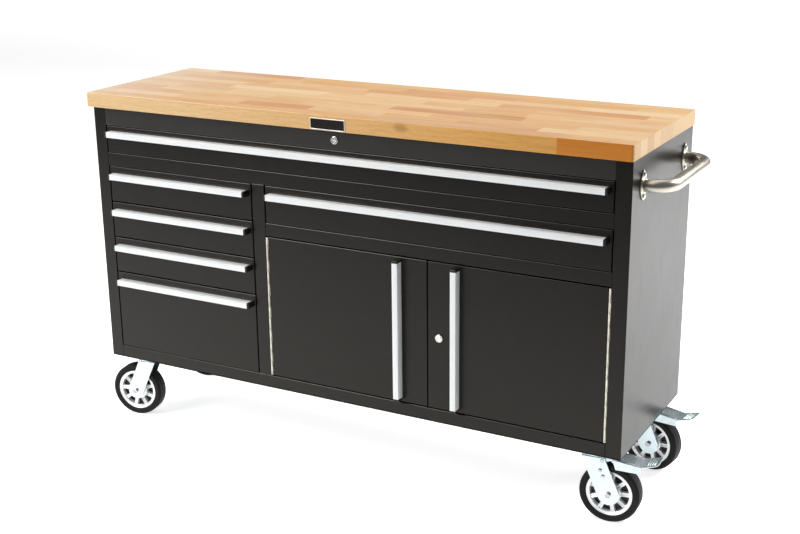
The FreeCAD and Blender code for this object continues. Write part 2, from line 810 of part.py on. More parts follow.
def pedal():
    top = -crown_drop + pedal_sheet - pedal_start_drop
    start = (pedal_neck_start, top)
    end = (pedal_tread_end, top - pedal_tread_fall)
    foot = (pedal_foot_end, end[1] + pedal_foot_rise)
    share = (pedal_wide_start - start[0]) / (end[0] - start[0])
    wide = (pedal_wide_start, top - share * pedal_tread_fall)
    neck_half = leg_inner - pedal_neck_gap
    wide_half = leg_outer + pedal_skirt_gap + pedal_sheet
    pivot = pedal_pivot()
    cheek_half = pedal_hub_radius - pedal_cheek_inset
    neck = pedal_strip([start, wide], neck_half)
    tread = pedal_strip([wide, end], wide_half)
    toe = pedal_strip([end, foot], wide_half)
    toe = toe.common(pedal_plan(end[0] - overshoot, foot[0], wide_half, end[1]))
    pieces = [neck, tread, toe]
    skirt = [(pedal_wide_start, wide[1]), (pedal_skirt_start, top - pedal_skirt_heel),
             (end[0], end[1] - pedal_skirt_toe), end]
    for y in (-wide_half, wide_half - pedal_sheet):
        points = [Vector(x, y, z) for x, z in skirt]
        pieces.append(prism(points, Y_AXIS * pedal_sheet))
    for y in (-neck_half, neck_half - pedal_sheet):
        points = [Vector(start[0], y, start[1]), Vector(wide[0], y, wide[1]),
                  Vector(wide[0], y, wide[1] - 2 * pedal_sheet), Vector(pivot.x, y, pivot.z - cheek_half),
                  Vector(pivot.x, y, pivot.z + cheek_half), Vector(start[0], y, pivot.z + cheek_half)]
        pieces.append(prism(points, Y_AXIS * pedal_sheet))
    hub = post(pedal_hub_radius, 2 * neck_half, pivot - Y_AXIS * neck_half, Y_AXIS)
    pad = block(pedal_pad_start, -pedal_pad_half_width, top - pedal_pad_drop, pedal_pad_end,
                pedal_pad_half_width, wide[1] - pedal_sheet / 2)
    whole = joined(pieces + [hub, pad])
    bore = post(pedal_pin_radius + axle_running, 2 * leg_outer, pivot - Y_AXIS * leg_outer, Y_AXIS)
    return whole.cut(bore)


def caster_nodes():
    shapes = {}
    for name, place in caster_places().items():
        braked = name.endswith("right")
        half = brake_leg_half if braked else plain_leg_half
        foot_radius = brake_leg_foot_radius if braked else plain_leg_foot_radius
        solids = [at_caster(solid, place) for solid in fork(half, foot_radius, braked)]
        shapes["caster_fork_" + name] = solids
        axle = Vector(caster_trail, 0, -axle_drop)
        for part_name, shape in (("wheel_rim_", rim()), ("wheel_tyre_", tyre())):
            shape.translate(axle)
            shapes[part_name + name] = [at_caster(shape, place)]
        if braked:
            shapes["brake_pedal_" + name] = [at_caster(pedal(), place)]
    return shapes


def drawer_nodes():
    shapes = {}
    cabinet_side = []
    for name, place in drawer_places().items():
        left, right, low, height, drop = place
        shapes[name + "_box"] = [drawer_body(left, right, low, height)] + drawer_members(left, right, low)
        shapes[name + "_pull"] = drawer_pull(left, right, low + height - reveal / 2 - drop)
        shapes[name + "_slide_middles"] = middle_members(left, right, low)
        cabinet_side = cabinet_side + cabinet_members(left, right, low)
    shapes["cabinet_slide_members"] = cabinet_side
    return shapes


def door_nodes():
    shapes = {}
    left_door, right_door = door_edges()
    lock = door_lock_place()
    left_pin = right_bay_start + hinge_gap / 2
    right_pin = inner_half - hinge_gap / 2
    low, high = left_door[2], left_door[3]
    shapes["door_left_panel"] = [door_panel(left_door)]
    shapes["door_right_panel"] = [door_panel(right_door).cut(lock_hole(lock))]
    shapes["door_left_pull"] = door_pull(doors_middle - door_pull_offset, low, high)
    shapes["door_right_pull"] = door_pull(doors_middle + door_pull_offset, low, high)
    shapes["door_left_hinge_leaf"] = [hinge_half(left_pin, 1, low, high, 1)]
    shapes["door_right_hinge_leaf"] = [hinge_half(right_pin, -1, low, high, 1)]
    shapes["cabinet_hinge_leaves"] = [hinge_half(left_pin, -1, low, high, 0), hinge_pin(left_pin, low, high),
                                      hinge_half(right_pin, 1, low, high, 0), hinge_pin(right_pin, low, high)]
    shapes["door_lock_housing"] = [lock_housing(lock)]
    shapes["door_lock_plug"] = [lock_plug(lock, door_cam_length, door_depth)]
    shapes["header_lock_housing"] = [lock_housing(header_lock_place())]
    shapes["header_lock_plug"] = [lock_plug(header_lock_place(), header_cam_length, lock_barrel_length)]
    return shapes


def body_nodes():
    panel = side_panel_right()
    return {"worktop": [worktop()],
            "nameplate": [nameplate()],
            "side_panel_left": [mirrored(panel)],
            "side_panel_right": [with_push_handle_holes(panel)],
            "back_panel": [back_panel()],
            "bottom_panel": [bottom_panel()],
            "top_panel": [top_panel()],
            "header_rail": [header_rail()],
            "mid_rail": [channel(-inner_half, inner_half, rows_top, top_row_bottom)],
            "right_rail": [channel(right_bay_start, inner_half, doors_top, right_row_bottom)],
            "divider": [divider()],
            "push_handle": [push_handle()],
            "push_handle_bolts": push_handle_bolts(),
            "caster_plates": caster_plates(),
            "caster_bolts": caster_bolts()}


def all_nodes():
    nodes = body_nodes()
    nodes.update(drawer_nodes())
    nodes.update(door_nodes())
    nodes.update(caster_nodes())
    return nodes


def outer_box(nodes):
    whole = Part.makeCompound([solid for solids in nodes.values() for solid in solids])
    return whole.optimalBoundingBox(False, False)


def main():
    nodes = all_nodes()
    box = outer_box(nodes)
    origin = Vector((box.XMin + box.XMax) / 2, (box.YMin + box.YMax) / 2, 0)
    os.makedirs("parts", exist_ok=True)
    for name, solids in nodes.items():
        shape = solids[0] if len(solids) == 1 else Part.makeCompound(solids)
        shape.translate(-origin)
        shape.exportStep("parts/" + name + ".step")
    print("nodes", len(nodes))
    print("origin in the body's frame", round(origin.x, 4), round(origin.y, 4))
    print("size", round(box.XLength, 1), round(box.YLength, 1), round(box.ZLength, 1))


main()
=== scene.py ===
import bpy
import bmesh
import json
import math
from mathutils import Matrix, Vector

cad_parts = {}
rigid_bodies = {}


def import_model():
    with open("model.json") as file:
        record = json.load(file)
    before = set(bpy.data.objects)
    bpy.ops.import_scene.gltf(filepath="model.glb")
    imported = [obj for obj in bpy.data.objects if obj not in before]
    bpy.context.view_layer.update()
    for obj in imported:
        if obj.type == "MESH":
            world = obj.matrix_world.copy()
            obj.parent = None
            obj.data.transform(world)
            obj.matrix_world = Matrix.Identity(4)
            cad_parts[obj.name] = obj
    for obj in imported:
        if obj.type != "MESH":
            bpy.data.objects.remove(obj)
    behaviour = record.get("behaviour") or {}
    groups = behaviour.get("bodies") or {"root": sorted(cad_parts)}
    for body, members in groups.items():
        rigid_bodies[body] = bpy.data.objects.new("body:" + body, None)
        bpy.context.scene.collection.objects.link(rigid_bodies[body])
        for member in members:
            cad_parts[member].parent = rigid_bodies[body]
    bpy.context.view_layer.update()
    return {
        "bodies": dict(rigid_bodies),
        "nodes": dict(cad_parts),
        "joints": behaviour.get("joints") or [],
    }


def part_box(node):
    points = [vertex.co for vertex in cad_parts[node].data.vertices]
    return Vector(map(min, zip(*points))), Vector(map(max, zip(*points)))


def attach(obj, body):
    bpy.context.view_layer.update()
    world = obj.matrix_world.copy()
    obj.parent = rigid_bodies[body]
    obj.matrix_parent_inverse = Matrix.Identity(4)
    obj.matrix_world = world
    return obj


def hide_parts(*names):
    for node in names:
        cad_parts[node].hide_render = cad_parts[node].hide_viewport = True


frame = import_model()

scene = bpy.context.scene
nodes = frame["nodes"]
joints = {joint["child"]: joint for joint in frame["joints"]}
corners = ["front_right", "back_right", "front_left", "back_left"]
sides = ("left", "right")
drawers = sorted(name for name in frame["bodies"] if name.startswith("drawer_") and name[-1].isdigit())


# small mesh tools

def showObject(name, data):
    made = bpy.data.objects.new(name, data)
    scene.collection.objects.link(made)
    return made


def bakedMesh(source):
    graph = bpy.context.evaluated_depsgraph_get()
    mesh = bpy.data.meshes.new_from_object(source.evaluated_get(graph))
    old = source.data
    bpy.data.objects.remove(source)
    if old.users == 0:
        bpy.data.meshes.remove(old)
    return mesh


def finishPiece(name, mesh, material, body, stands=()):
    made = showObject(name, mesh)
    mesh.materials.clear()
    mesh.materials.append(material)
    for polygon in mesh.polygons:
        polygon.material_index = 0
    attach(made, body)
    if stands:
        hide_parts(*stands)


def rawMesh(bm):
    mesh = bpy.data.meshes.new("work")
    bm.to_mesh(mesh)
    bm.free()
    return mesh


def meshOf(bm, smoothAngle=35):
    mesh = rawMesh(bm)
    mesh.shade_smooth()
    mesh.set_sharp_from_angle(angle=math.radians(smoothAngle))
    return mesh


def joinedMeshes(meshes):
    bm = bmesh.new()
    for mesh in meshes:
        bm.from_mesh(mesh)
    return meshOf(bm)


def placed(mesh, matrix):
    mesh.transform(matrix)
    return mesh


def turnOf(first, second, third):
    # the turn that brings X, Y and Z onto the three directions
    return Matrix((first, second, third)).transposed().to_4x4()


# merged copies of a node's closed solids, largest first
def solidsOf(nodeName):
    whole = bmesh.new()
    whole.from_mesh(nodes[nodeName].data)
    bmesh.ops.remove_doubles(whole, verts=whole.verts, dist=2e-6)
    whole.verts.ensure_lookup_table()
    seen, groups = set(), []
    for vert in whole.verts:
        if vert.index in seen:
            continue
        group, front = [], [vert]
        seen.add(vert.index)
        while front:
            here = front.pop()
            group.append(here.index)
            for edge in here.link_edges:
                other = edge.other_vert(here)
                if other.index not in seen:
                    seen.add(other.index)
                    front.append(other)
        groups.append(set(group))
    solids = []
    for group in groups:
        part = whole.copy()
        part.verts.ensure_lookup_table()
        extra = [vert for vert in part.verts if vert.index not in group]
        bmesh.ops.delete(part, geom=extra, context="VERTS")
        bmesh.ops.dissolve_limit(part, angle_limit=math.radians(0.5), verts=part.verts, edges=part.edges)
        solids.append(part)
    whole.free()
    return sorted(solids, key=lambda part: -part.calc_volume())


# rounds the sharp edges; weightOf gives each sharp edge its share of the width
def softEdges(bm, width, segments=1, weightOf=None):
    weights = bm.edges.layers.float.new("bevel_weight_edge")
    for edge in bm.edges:
        if len(edge.link_faces) == 2 and edge.calc_face_angle(0) > math.radians(30):
            edge[weights] = weightOf(edge) if weightOf else 1.0
            edge.smooth = edge[weights] > 0
    for face in bm.faces:
        face.smooth = True
    made = showObject("work", rawMesh(bm))
    bevel = made.modifiers.new("Soft edges", "BEVEL")
    bevel.limit_method = "WEIGHT"
    bevel.offset_type = "OFFSET"
    bevel.width = width
    bevel.segments = segments
    bevel.use_clamp_overlap = False
    flat = made.modifiers.new("Flat faces", "WEIGHTED_NORMAL")
    flat.keep_sharp = True
    return bakedMesh(made)


def softSolids(nodeName, width, segments):
    return [softEdges(part, width, segments) for part in solidsOf(nodeName)]


def softPiece(name, nodeName, material, body, width, segments=1):
    # a node's own solids with rounded edges, as one piece
    meshes = softSolids(nodeName, width, segments)
    finishPiece(name, joinedMeshes(meshes), material, body, (nodeName,))


# walls from ring to ring; the two ends are capped, or a loop joins the last ring to the first
def walled(rings, loop=False):
    bm = bmesh.new()
    rows = [[bm.verts.new(point) for point in ring] for ring in rings]
    for here, there in zip(rows, rows[1:] + rows[:1] if loop else rows[1:]):
        for i in range(len(here)):
            j = (i + 1) % len(here)
            bm.faces.new((here[i], here[j], there[j], there[i]))
    if not loop:
        bm.faces.new(rows[0])
        bm.faces.new(rows[-1])
    bmesh.ops.recalc_face_normals(bm, faces=bm.faces)
    return bm


def circle(steps):
    angles = [2 * math.pi * step / steps for step in range(steps)]
    return [(math.cos(angle), math.sin(angle)) for angle in angles]


def lathe(profile, steps):
    # profile is a closed loop of (radius, height); turned about Z
    return walled([[(r * a, r * b, z) for r, z in profile] for a, b in circle(steps)], True)


def roundedLoop(points, radius, steps):
    # rounds every corner of a closed loop of 2D points
    loop = []
    count = len(points)
    for i in range(count):
        here = Vector(points[i])
        before = Vector(points[i - 1]) - here
        after = Vector(points[(i + 1) % count]) - here
        cut = min(radius, before.length * 0.45, after.length * 0.45)
        start = here + before.normalized() * cut
        end = here + after.normalized() * cut
        for step in range(steps + 1):
            t = step / steps
            loop.append(start.lerp(here, t).lerp(here.lerp(end, t), t))
    return [(p.x, p.y) for p in loop]


def mirrored(upper):
    # closes a profile with its own mirror image below
    return upper + [(a, -b) for a, b in reversed(upper)]


# node tools: a graph writes nodes into a tree, and a value is one output that can be added or compared

class Value:
    def __init__(self, graph, socket):
        self.graph = graph
        self.socket = socket

    def __add__(self, other):
        return self.graph.calc("ADD", self, other)

    def __radd__(self, other):
        return self.graph.calc("ADD", other, self)

    def __sub__(self, other):
        return self.graph.calc("SUBTRACT", self, other)

    def __rsub__(self, other):
        return self.graph.calc("SUBTRACT", other, self)

    def __mul__(self, other):
        return self.graph.calc("MULTIPLY", self, other)

    def __truediv__(self, other):
        return self.graph.calc("DIVIDE", self, other)

    def __rtruediv__(self, other):
        return self.graph.calc("DIVIDE", other, self)

    def __lt__(self, other):
        return self.graph.calc("LESS_THAN", self, other)

    def __gt__(self, other):
        return self.graph.calc("GREATER_THAN", self, other)


class Graph:
    def __init__(self, tree):
        self.tree = tree

    def fill(self, node, inputs):
        for key, value in inputs.items():
            value = getattr(value, "socket", value)
            if isinstance(value, bpy.types.NodeSocket):
                self.tree.links.new(value, node.inputs[key])
            else:
                node.inputs[key].default_value = value

    def put(self, kind, inputs=None, **settings):
        made = self.tree.nodes.new(kind)
        made.location = (200 * (len(self.tree.nodes) % 12), -220 * (len(self.tree.nodes) // 12))
        for key, value in settings.items():
            setattr(made, key, value)
        self.fill(made, inputs or {})
        return made

    def out(self, kind, inputs=None, key=0, **settings):
        return Value(self, self.put(kind, inputs, **settings).outputs[key])

    def split(self, kind, value):
        return [Value(self, socket) for socket in self.put(kind, {0: value}).outputs]

    def calc(self, operation, a, b=0.0, clamp=False):
        return self.out("ShaderNodeMath", {0: a, 1: b}, operation=operation, use_clamp=clamp)

    def place(self):
        return self.out("ShaderNodeTexCoord", key="Object")

    def blend(self, share, a, b, mode="MIX"):
        return self.out("ShaderNodeMix", {0: share, 6: a, 7: b}, 2, data_type="RGBA", blend_type=mode)

    def ramp(self, value, low, high, start=0.0, end=1.0):
        return self.out("ShaderNodeMapRange", {0: value, 1: low, 2: high, 3: start, 4: end})

    def noise(self, vector, scale, detail, roughness, distortion=0.0):
        return self.out("ShaderNodeTexNoise", {"Vector": vector, "Scale": scale, "Detail": detail,
                                               "Roughness": roughness, "Distortion": distortion}, "Fac")

    def stretched(self, vector, scale):
        return self.out("ShaderNodeMapping", {"Vector": vector, "Scale": scale})

    def bump(self, height, distance, strength=1.0, **below):
        return self.out("ShaderNodeBump", {"Strength": strength, "Distance": distance, "Height": height,
                                           **below})

    def group(self, tree, look):
        # a shared group, with each of its inputs taken from the look
        made = self.put("ShaderNodeGroup", node_tree=tree)
        self.fill(made, {socket.name: look[socket.name] for socket in made.inputs})
        return made


def newGroup(kind, name, inputs, outputs):
    tree = bpy.data.node_groups.new(name, kind + "NodeTree")
    for way, sockets in (("INPUT", inputs), ("OUTPUT", outputs)):
        for label, socketKind in sockets.items():
            tree.interface.new_socket(label, in_out=way, socket_type="NodeSocket" + socketKind)
    graph = Graph(tree)
    opening = tree.nodes.new("NodeGroupInput")
    given = {label: Value(graph, opening.outputs[label]) for label in inputs}
    return graph, given, tree.nodes.new("NodeGroupOutput")


# orange peel, a slow wave in the surface and a cloudy sheen, for paint, plating, rubber and plastic
def buildSheetSkin():
    labels = ("peelScale", "peelHeight", "waveHeight", "sheen", "sheenChange", "handling")
    g, given, result = newGroup("Shader", "sheetSkin", dict.fromkeys(labels, "Float"),
                                {"Roughness": "Float", "Normal": "Vector"})
    place = g.place()
    peel = g.noise(place, given["peelScale"], 2.0, 0.45)
    wave = g.noise(place, 4.5, 1.0, 0.4)
    clouds = g.noise(place, 9.0, 5.0, 0.6, 0.4)
    smears = g.noise(g.stretched(place, (60, 60, 9)), 1.0, 3.0, 0.6, 0.6)
    touched = g.ramp(smears, 0.56, 0.78) * given["handling"]
    sheen = given["sheen"] + g.ramp(clouds, 0.3, 0.7, -1.0, 1.0) * given["sheenChange"]
    sheen = g.calc("ADD", sheen, touched * 0.12, True)
    slow = g.bump(wave, given["waveHeight"])
    g.fill(result, {"Roughness": sheen, "Normal": g.bump(peel, given["peelHeight"], Normal=slow)})
    return g.tree


# fine parallel brush marks along one axis of the piece
def buildBrushMarks():
    g, given, result = newGroup("Shader", "brushMarks",
                                {"stretch": "Vector", "scale": "Float", "depth": "Float", "sheen": "Float",
                                 "sheenChange": "Float"},
                                {"Roughness": "Float", "Normal": "Vector", "Mask": "Float"})
    place = g.place()
    drawn = g.out("ShaderNodeVectorMath", {0: place, 1: given["stretch"]}, operation="MULTIPLY")
    lines = g.noise(drawn, given["scale"], 3.0, 0.65)
    clouds = g.noise(place, 14.0, 3.0, 0.5)
    sheen = given["sheen"] + g.ramp(lines, 0.3, 0.7, -1.0, 1.0) * given["sheenChange"]
    sheen = g.calc("ADD", sheen, g.ramp(clouds, 0.3, 0.7, -0.04, 0.04), True)
    g.fill(result, {"Roughness": sheen, "Normal": g.bump(lines, given["depth"]), "Mask": lines})
    return g.tree


# dust or stain that gathers in patches
def buildDust():
    g, given, result = newGroup("Shader", "dust", {"colour": "Color", "stain": "Color", "dustAmount": "Float",
                                                   "dustScale": "Float"}, {"Color": "Color"})
    patches = g.noise(g.place(), given["dustScale"], 6.0, 0.65, 0.3)
    mask = g.ramp(patches, 0.42, 0.72) * given["dustAmount"]
    g.fill(result, {"Color": g.blend(mask, given["colour"], given["stain"])})
    return g.tree


sheetSkin = buildSheetSkin()
brushMarks = buildBrushMarks()
dust = buildDust()


def newMaterial(name):
    material = bpy.data.materials.new(name)
    material.use_nodes = True
    tree = material.node_tree
    surface = next(node for node in tree.nodes if node.type == "BSDF_PRINCIPLED")
    return material, Graph(tree), surface


# materials

paintLook = {"colour": (0.0032, 0.0027, 0.0023, 1), "stain": (0.008, 0.007, 0.006, 1), "sheen": 0.30,
             "sheenChange": 0.02, "peelScale": 650.0, "peelHeight": 0.00001, "waveHeight": 0.0006,
             "handling": 0.35, "dustAmount": 0.35, "dustScale": 16.0,
             "surface": {"IOR": 1.41, "Specular Tint": (1.0, 0.93, 0.86, 1)}}
# painted reflection: the header rail gets a copy of the paint that reflects more strongly and more neutrally
headerLook = dict(paintLook, surface={"IOR": 1.68, "Specular Tint": (1.0, 0.97, 0.96, 1)})
plateLook = dict(paintLook, colour=(0.006, 0.006, 0.006, 1), sheen=0.3, waveHeight=0.0001)


# painted, plated or moulded: a sheet skin under a film of dust; plating also has a bloom in its colour
def makeCoated(name, look):
    material, g, surface = newMaterial(name)
    if "bloomScale" in look:
        bloom = g.noise(g.place(), look["bloomScale"], 4.0, 0.6, 0.8)
        look = dict(look, colour=g.blend(g.ramp(bloom, 0.35, 0.65), look["dark"], look["light"]))
    skin = g.group(sheetSkin, look)
    film = g.group(dust, look)
    g.fill(surface, {"Base Color": film.outputs["Color"], "Roughness": skin.outputs["Roughness"],
                     "Normal": skin.outputs["Normal"], **look["surface"]})
    return material


def makeBrushed(name, look):
    material, g, surface = newMaterial(name)
    marks = g.group(brushMarks, look)
    tone = g.ramp(marks.outputs["Mask"], 0.25, 0.75)
    g.fill(surface, {"Base Color": g.blend(tone, look["dark"], look["light"]),
                     "Roughness": marks.outputs["Roughness"], "Normal": marks.outputs["Normal"],
                     "Metallic": look["metallic"]})
    return material


# glued staves: rows across the depth, each row cut into lengths, with end grain at both ends
woodLook = {"staveWidth": 0.046, "shortest": 0.17, "longest": 0.40, "roughness": 0.45, "ringSpacing": 0.011,
            "tones": [(0.0, (0.84, 0.545, 0.265, 1)), (0.22, (0.76, 0.455, 0.205, 1)),
                      (0.42, (0.86, 0.60, 0.315, 1)), (0.60, (0.70, 0.365, 0.165, 1)),
                      (0.75, (0.82, 0.515, 0.225, 1)), (0.88, (0.90, 0.675, 0.385, 1)),
                      (1.0, (0.62, 0.30, 0.13, 1))],
            "frontPaleAndLit": (0.95, 0.68, 0.37, 1), "golden": (0.88, 0.48, 0.14, 1),
            "goldenDeep": (0.78, 0.395, 0.085, 1), "orange": (0.67, 0.21, 0.0, 1),
            "deep": (0.62, 0.45, 0.30, 1),
            "cloud": (0.95, 0.74, 0.46, 1), "pore": (0.36, 0.2, 0.09, 1), "fleck": (0.50, 0.24, 0.06, 1),
            "knotTone": (0.42, 0.2, 0.055, 1), "glue": (0.38, 0.2, 0.08, 1), "paintedLeftLight": (0.90, 0.84, 0.70, 1),
            "paintedTopLight": (0.88, 0.88, 0.96, 1), "endDark": (0.64, 0.42, 0.23, 1),
            "endLight": (0.76, 0.56, 0.33, 1),
            "endArc": (0.55, 0.30, 0.15, 1), "endDot": (0.45, 0.26, 0.13, 1), "goldenFrom": 0.10,
            "orangeFrom": 0.562, "knot": 0.169, "knotDown": 0.012, "frontSkin": 0.0014, "endSkin": 0.0012,
            "gloss": 0.18}


def makeWood(name, look, low, high):
    material, g, surface = newMaterial(name)
    place = g.place()
    x, y, z = g.split("ShaderNodeSeparateXYZ", place)
    across = (y - low.y) / look["staveWidth"]
    row = g.calc("FLOOR", across)
    frontRow = row < 0.5
    others = 1.0 - frontRow
    chance = g.out("ShaderNodeTexWhiteNoise", {"W": row}, "Color", noise_dimensions="1D")
    chances = g.split("ShaderNodeSeparateColor", chance)
    length = g.ramp(chances[0], 0.0, 1.0, look["shortest"], look["longest"])
    along = (x - low.x + chances[1] * 0.9) / length
    # the front row has two joints at set places, the other rows are cut by chance
    frontCut = (x > look["goldenFrom"]) + (x > look["orangeFrom"])
    segment = frontRow * (frontCut + 40.0) + others * g.calc("FLOOR", along)
    ident = g.out("ShaderNodeCombineXYZ", {0: row, 1: segment, 2: 3.7})
    pick = g.put("ShaderNodeTexWhiteNoise", {"Vector": ident}, noise_dimensions="3D").outputs
    tones = g.put("ShaderNodeValToRGB", {0: pick["Value"]})
    stops = tones.color_ramp.elements
    while len(stops) < len(look["tones"]):
        stops.new(0.5)
    for stop, (position, colour) in zip(stops, look["tones"]):
        stop.position = position
        stop.color = colour
    # along the front row the wood deepens from pale to golden, then an orange block; the deepening before the
    # orange block is partly the wood's tone and partly painted light from the left
    frontTone = g.blend(g.ramp(x, -0.5, 0.35), look["frontPaleAndLit"], look["golden"])
    frontTone = g.blend(g.ramp(x, 0.35, look["orangeFrom"]), frontTone, look["goldenDeep"])
    frontTone = g.blend(x > look["orangeFrom"], frontTone, look["orange"])
    frontFace = y < low.y + look["frontSkin"]
    onTop = 1.0 - frontFace
    tone = g.blend(frontFace, tones.outputs[0], frontTone)
    # every stave reads its own stretch of the grain
    jump = g.out("ShaderNodeVectorMath", {0: pick["Color"], 1: (7.0, 5.0, 3.0)}, operation="MULTIPLY")
    own = g.out("ShaderNodeVectorMath", {0: place, 1: jump}, operation="ADD")

    def grain(lengthwise, crosswise, detail, roughness):
        return g.noise(g.stretched(own, (lengthwise, crosswise, crosswise)), 1.0, detail, roughness)
    drift = g.ramp(grain(2.6, 9.0, 2.0, 0.45), 0.2, 0.8, -1.0, 1.0) * 0.035
    ownPlace = g.split("ShaderNodeSeparateXYZ", own)
    depth = ownPlace[1] * 0.8 + ownPlace[2] + drift + grain(9.0, 60.0, 2.0, 0.5) * 0.006
    ring = g.calc("FRACT", depth / look["ringSpacing"])
    ring = g.calc("POWER", ring, 3.0) * g.ramp(ring, 1.0, 0.93)
    streaks = grain(6.0, 240.0, 4.0, 0.6)
    pores = g.ramp(grain(60.0, 1100.0, 1.0, 0.5), 0.66, 0.74)
    clouds = grain(4.0, 16.0, 3.0, 0.5)
    deep = g.blend(1.0, tone, look["deep"], "MULTIPLY")
    strength = g.ramp(pick["Value"], 0.0, 1.0, 0.15, 0.45) * g.ramp(frontFace, 0.0, 1.0, 1.0, 0.5)
    colour = g.blend(ring * strength, tone, deep)
    colour = g.blend(g.ramp(streaks, 0.48, 0.8, 0.0, 0.5), colour, deep)
    cloudShare = g.ramp(clouds, 0.45, 0.75, 0.0, 0.5) * (1.0 - frontFace * 0.7)
    colour = g.blend(cloudShare, colour, g.blend(0.5, tone, look["cloud"]))
    # painted light and reflection: the left end of the top is paler, with less contrast between staves
    colour = g.blend(g.ramp(x, -0.45, -0.8, 0.0, 0.38) * onTop, colour, look["paintedLeftLight"])
    # painted light: the top is multiplied a little darker and cooler than the front
    colour = g.blend(onTop, colour, look["paintedTopLight"], "MULTIPLY")
    colour = g.blend(pores * 0.3, colour, look["pore"])
    flecks = g.ramp(grain(55.0, 400.0, 3.0, 0.65), 0.46, 0.72, 0.0, 0.6) * frontFace
    colour = g.blend(flecks, colour, g.blend(0.5, colour, look["fleck"]))
    # one knot in the front row
    knotZ = high.z - look["knotDown"]
    away = g.out("ShaderNodeCombineXYZ", {0: x - look["knot"], 1: y - low.y, 2: z - knotZ})
    away = g.stretched(away, (0.55, 0.8, 1.0))
    away = g.out("ShaderNodeVectorMath", {0: away}, "Value", operation="LENGTH")
    knot = g.ramp(away + clouds * 0.012, 0.020, 0.012) * frontRow
    colour = g.blend(knot * 0.6, colour, look["knotTone"])
    # thin glue lines between rows and at the butt joints
    edgeY = g.calc("ABSOLUTE", g.calc("FRACT", across) - 0.5)
    edgeX = g.calc("ABSOLUTE", g.calc("FRACT", along) - 0.5)
    seam = g.calc("MAXIMUM", g.ramp(edgeY, 0.487, 0.5), g.ramp(edgeX, 0.4975, 0.5) * others)
    colour = g.blend(seam * 0.25, colour, look["glue"])
    # end grain on the two short sides
    reach = g.calc("ABSOLUTE", x - (low.x + high.x) / 2)
    ends = reach > (high.x - low.x) / 2 - look["endSkin"]
    arcs = g.out("ShaderNodeTexWave", {"Vector": g.stretched(own, (0.0, 1.0, 1.0)), "Scale": 45.0,
                                       "Distortion": 3.0, "Detail": 2.0, "Detail Scale": 1.5},
                 "Fac", wave_type="RINGS", rings_direction="X")
    endPick = g.out("ShaderNodeTexWhiteNoise", {"W": row + 17.3}, "Value", noise_dimensions="1D")
    endTone = g.blend(endPick, look["endDark"], look["endLight"])
    endTone = g.blend(arcs * 0.22, endTone, look["endArc"])
    endTone = g.blend(g.ramp(grain(0.0, 700.0, 2.0, 0.6), 0.5, 0.75, 0.0, 0.35), endTone, look["endDot"])
    endTone = g.blend(seam * 0.3, endTone, look["glue"])
    rough = look["roughness"] + g.ramp(streaks, 0.3, 0.8, -0.04, 0.1)
    height = g.ramp(streaks, 0.0, 1.0, 0.3, 0.0) - (pores * 0.5 + seam * 0.8)
    g.fill(surface, {"Base Color": g.blend(ends, colour, endTone),
                     "Roughness": g.calc("ADD", rough, pores * 0.2, True),
                     "Normal": g.bump(height, 0.0001, 0.7), "Specular IOR Level": look["gloss"]})
    return material


pullLook = {"stretch": (1.0, 70.0, 70.0), "scale": 30.0, "depth": 0.000004, "sheen": 0.4, "sheenChange": 0.06,
            "dark": (0.84, 0.86, 0.87, 1), "light": (0.94, 0.95, 0.95, 1), "metallic": 0.15}
doorPullLook = dict(pullLook, stretch=(70.0, 70.0, 1.0))
tubeLook = {"stretch": (60.0, 1.5, 60.0), "scale": 26.0, "depth": 0.000003, "sheen": 0.31,
            "sheenChange": 0.04, "dark": (0.52, 0.485, 0.41, 1), "light": (0.64, 0.605, 0.53, 1),
            "metallic": 0.97}
zincLook = {"peelScale": 400.0, "peelHeight": 0.000002, "waveHeight": 0.0001, "sheen": 0.2,
            "sheenChange": 0.04, "handling": 0.5, "dustAmount": 0.25, "dustScale": 45.0, "bloomScale": 22.0,
            "dark": (0.66, 0.77, 0.81, 1), "light": (0.75, 0.85, 0.89, 1), "stain": (0.64, 0.72, 0.74, 1),
            "surface": {"Metallic": 0.94}}
hingeLook = dict(zincLook, peelHeight=0.000003, sheen=0.36, bloomScale=50.0, dark=(0.80, 0.75, 0.62, 1),
                 light=(0.92, 0.88, 0.77, 1), stain=(0.66, 0.6, 0.48, 1), surface={"Metallic": 0.5})
rimLook = dict(zincLook, peelScale=300.0, waveHeight=0.00005, sheen=0.33, bloomScale=60.0,
               dark=(0.88, 0.89, 0.90, 1), light=(0.95, 0.95, 0.95, 1), stain=(0.75, 0.75, 0.74, 1),
               surface={"Metallic": 0.6})
lockLook = dict(zincLook, peelScale=800.0, peelHeight=0.000008, sheenChange=0.05, bloomScale=90.0,
                dark=(0.70, 0.69, 0.67, 1), light=(0.86, 0.85, 0.83, 1), stain=(0.5, 0.49, 0.46, 1),
                surface={"Metallic": 1.0})
pedalLook = dict(zincLook, sheen=0.24, bloomScale=30.0, dark=(0.62, 0.72, 0.74, 1),
                 light=(0.80, 0.90, 0.93, 1), surface={"Metallic": 0.72})
boltLook = dict(lockLook, sheen=0.15, dark=(0.40, 0.43, 0.45, 1), light=(0.60, 0.64, 0.66, 1),
                stain=(0.30, 0.32, 0.33, 1))
rubberLook = {"peelScale": 900.0, "peelHeight": 0.00004, "waveHeight": 0.0001, "sheen": 0.55,
              "sheenChange": 0.06, "handling": 0.4, "dustAmount": 0.3, "dustScale": 60.0,
              "colour": (0.0035, 0.0030, 0.0026, 1), "stain": (0.012, 0.010, 0.008, 1),
              "surface": {"Specular IOR Level": 0.22}}
plasticLook = dict(rubberLook, colour=(0.006, 0.006, 0.006, 1), stain=(0.02, 0.02, 0.019, 1), sheen=0.40,
                   surface={"Specular IOR Level": 0.4})

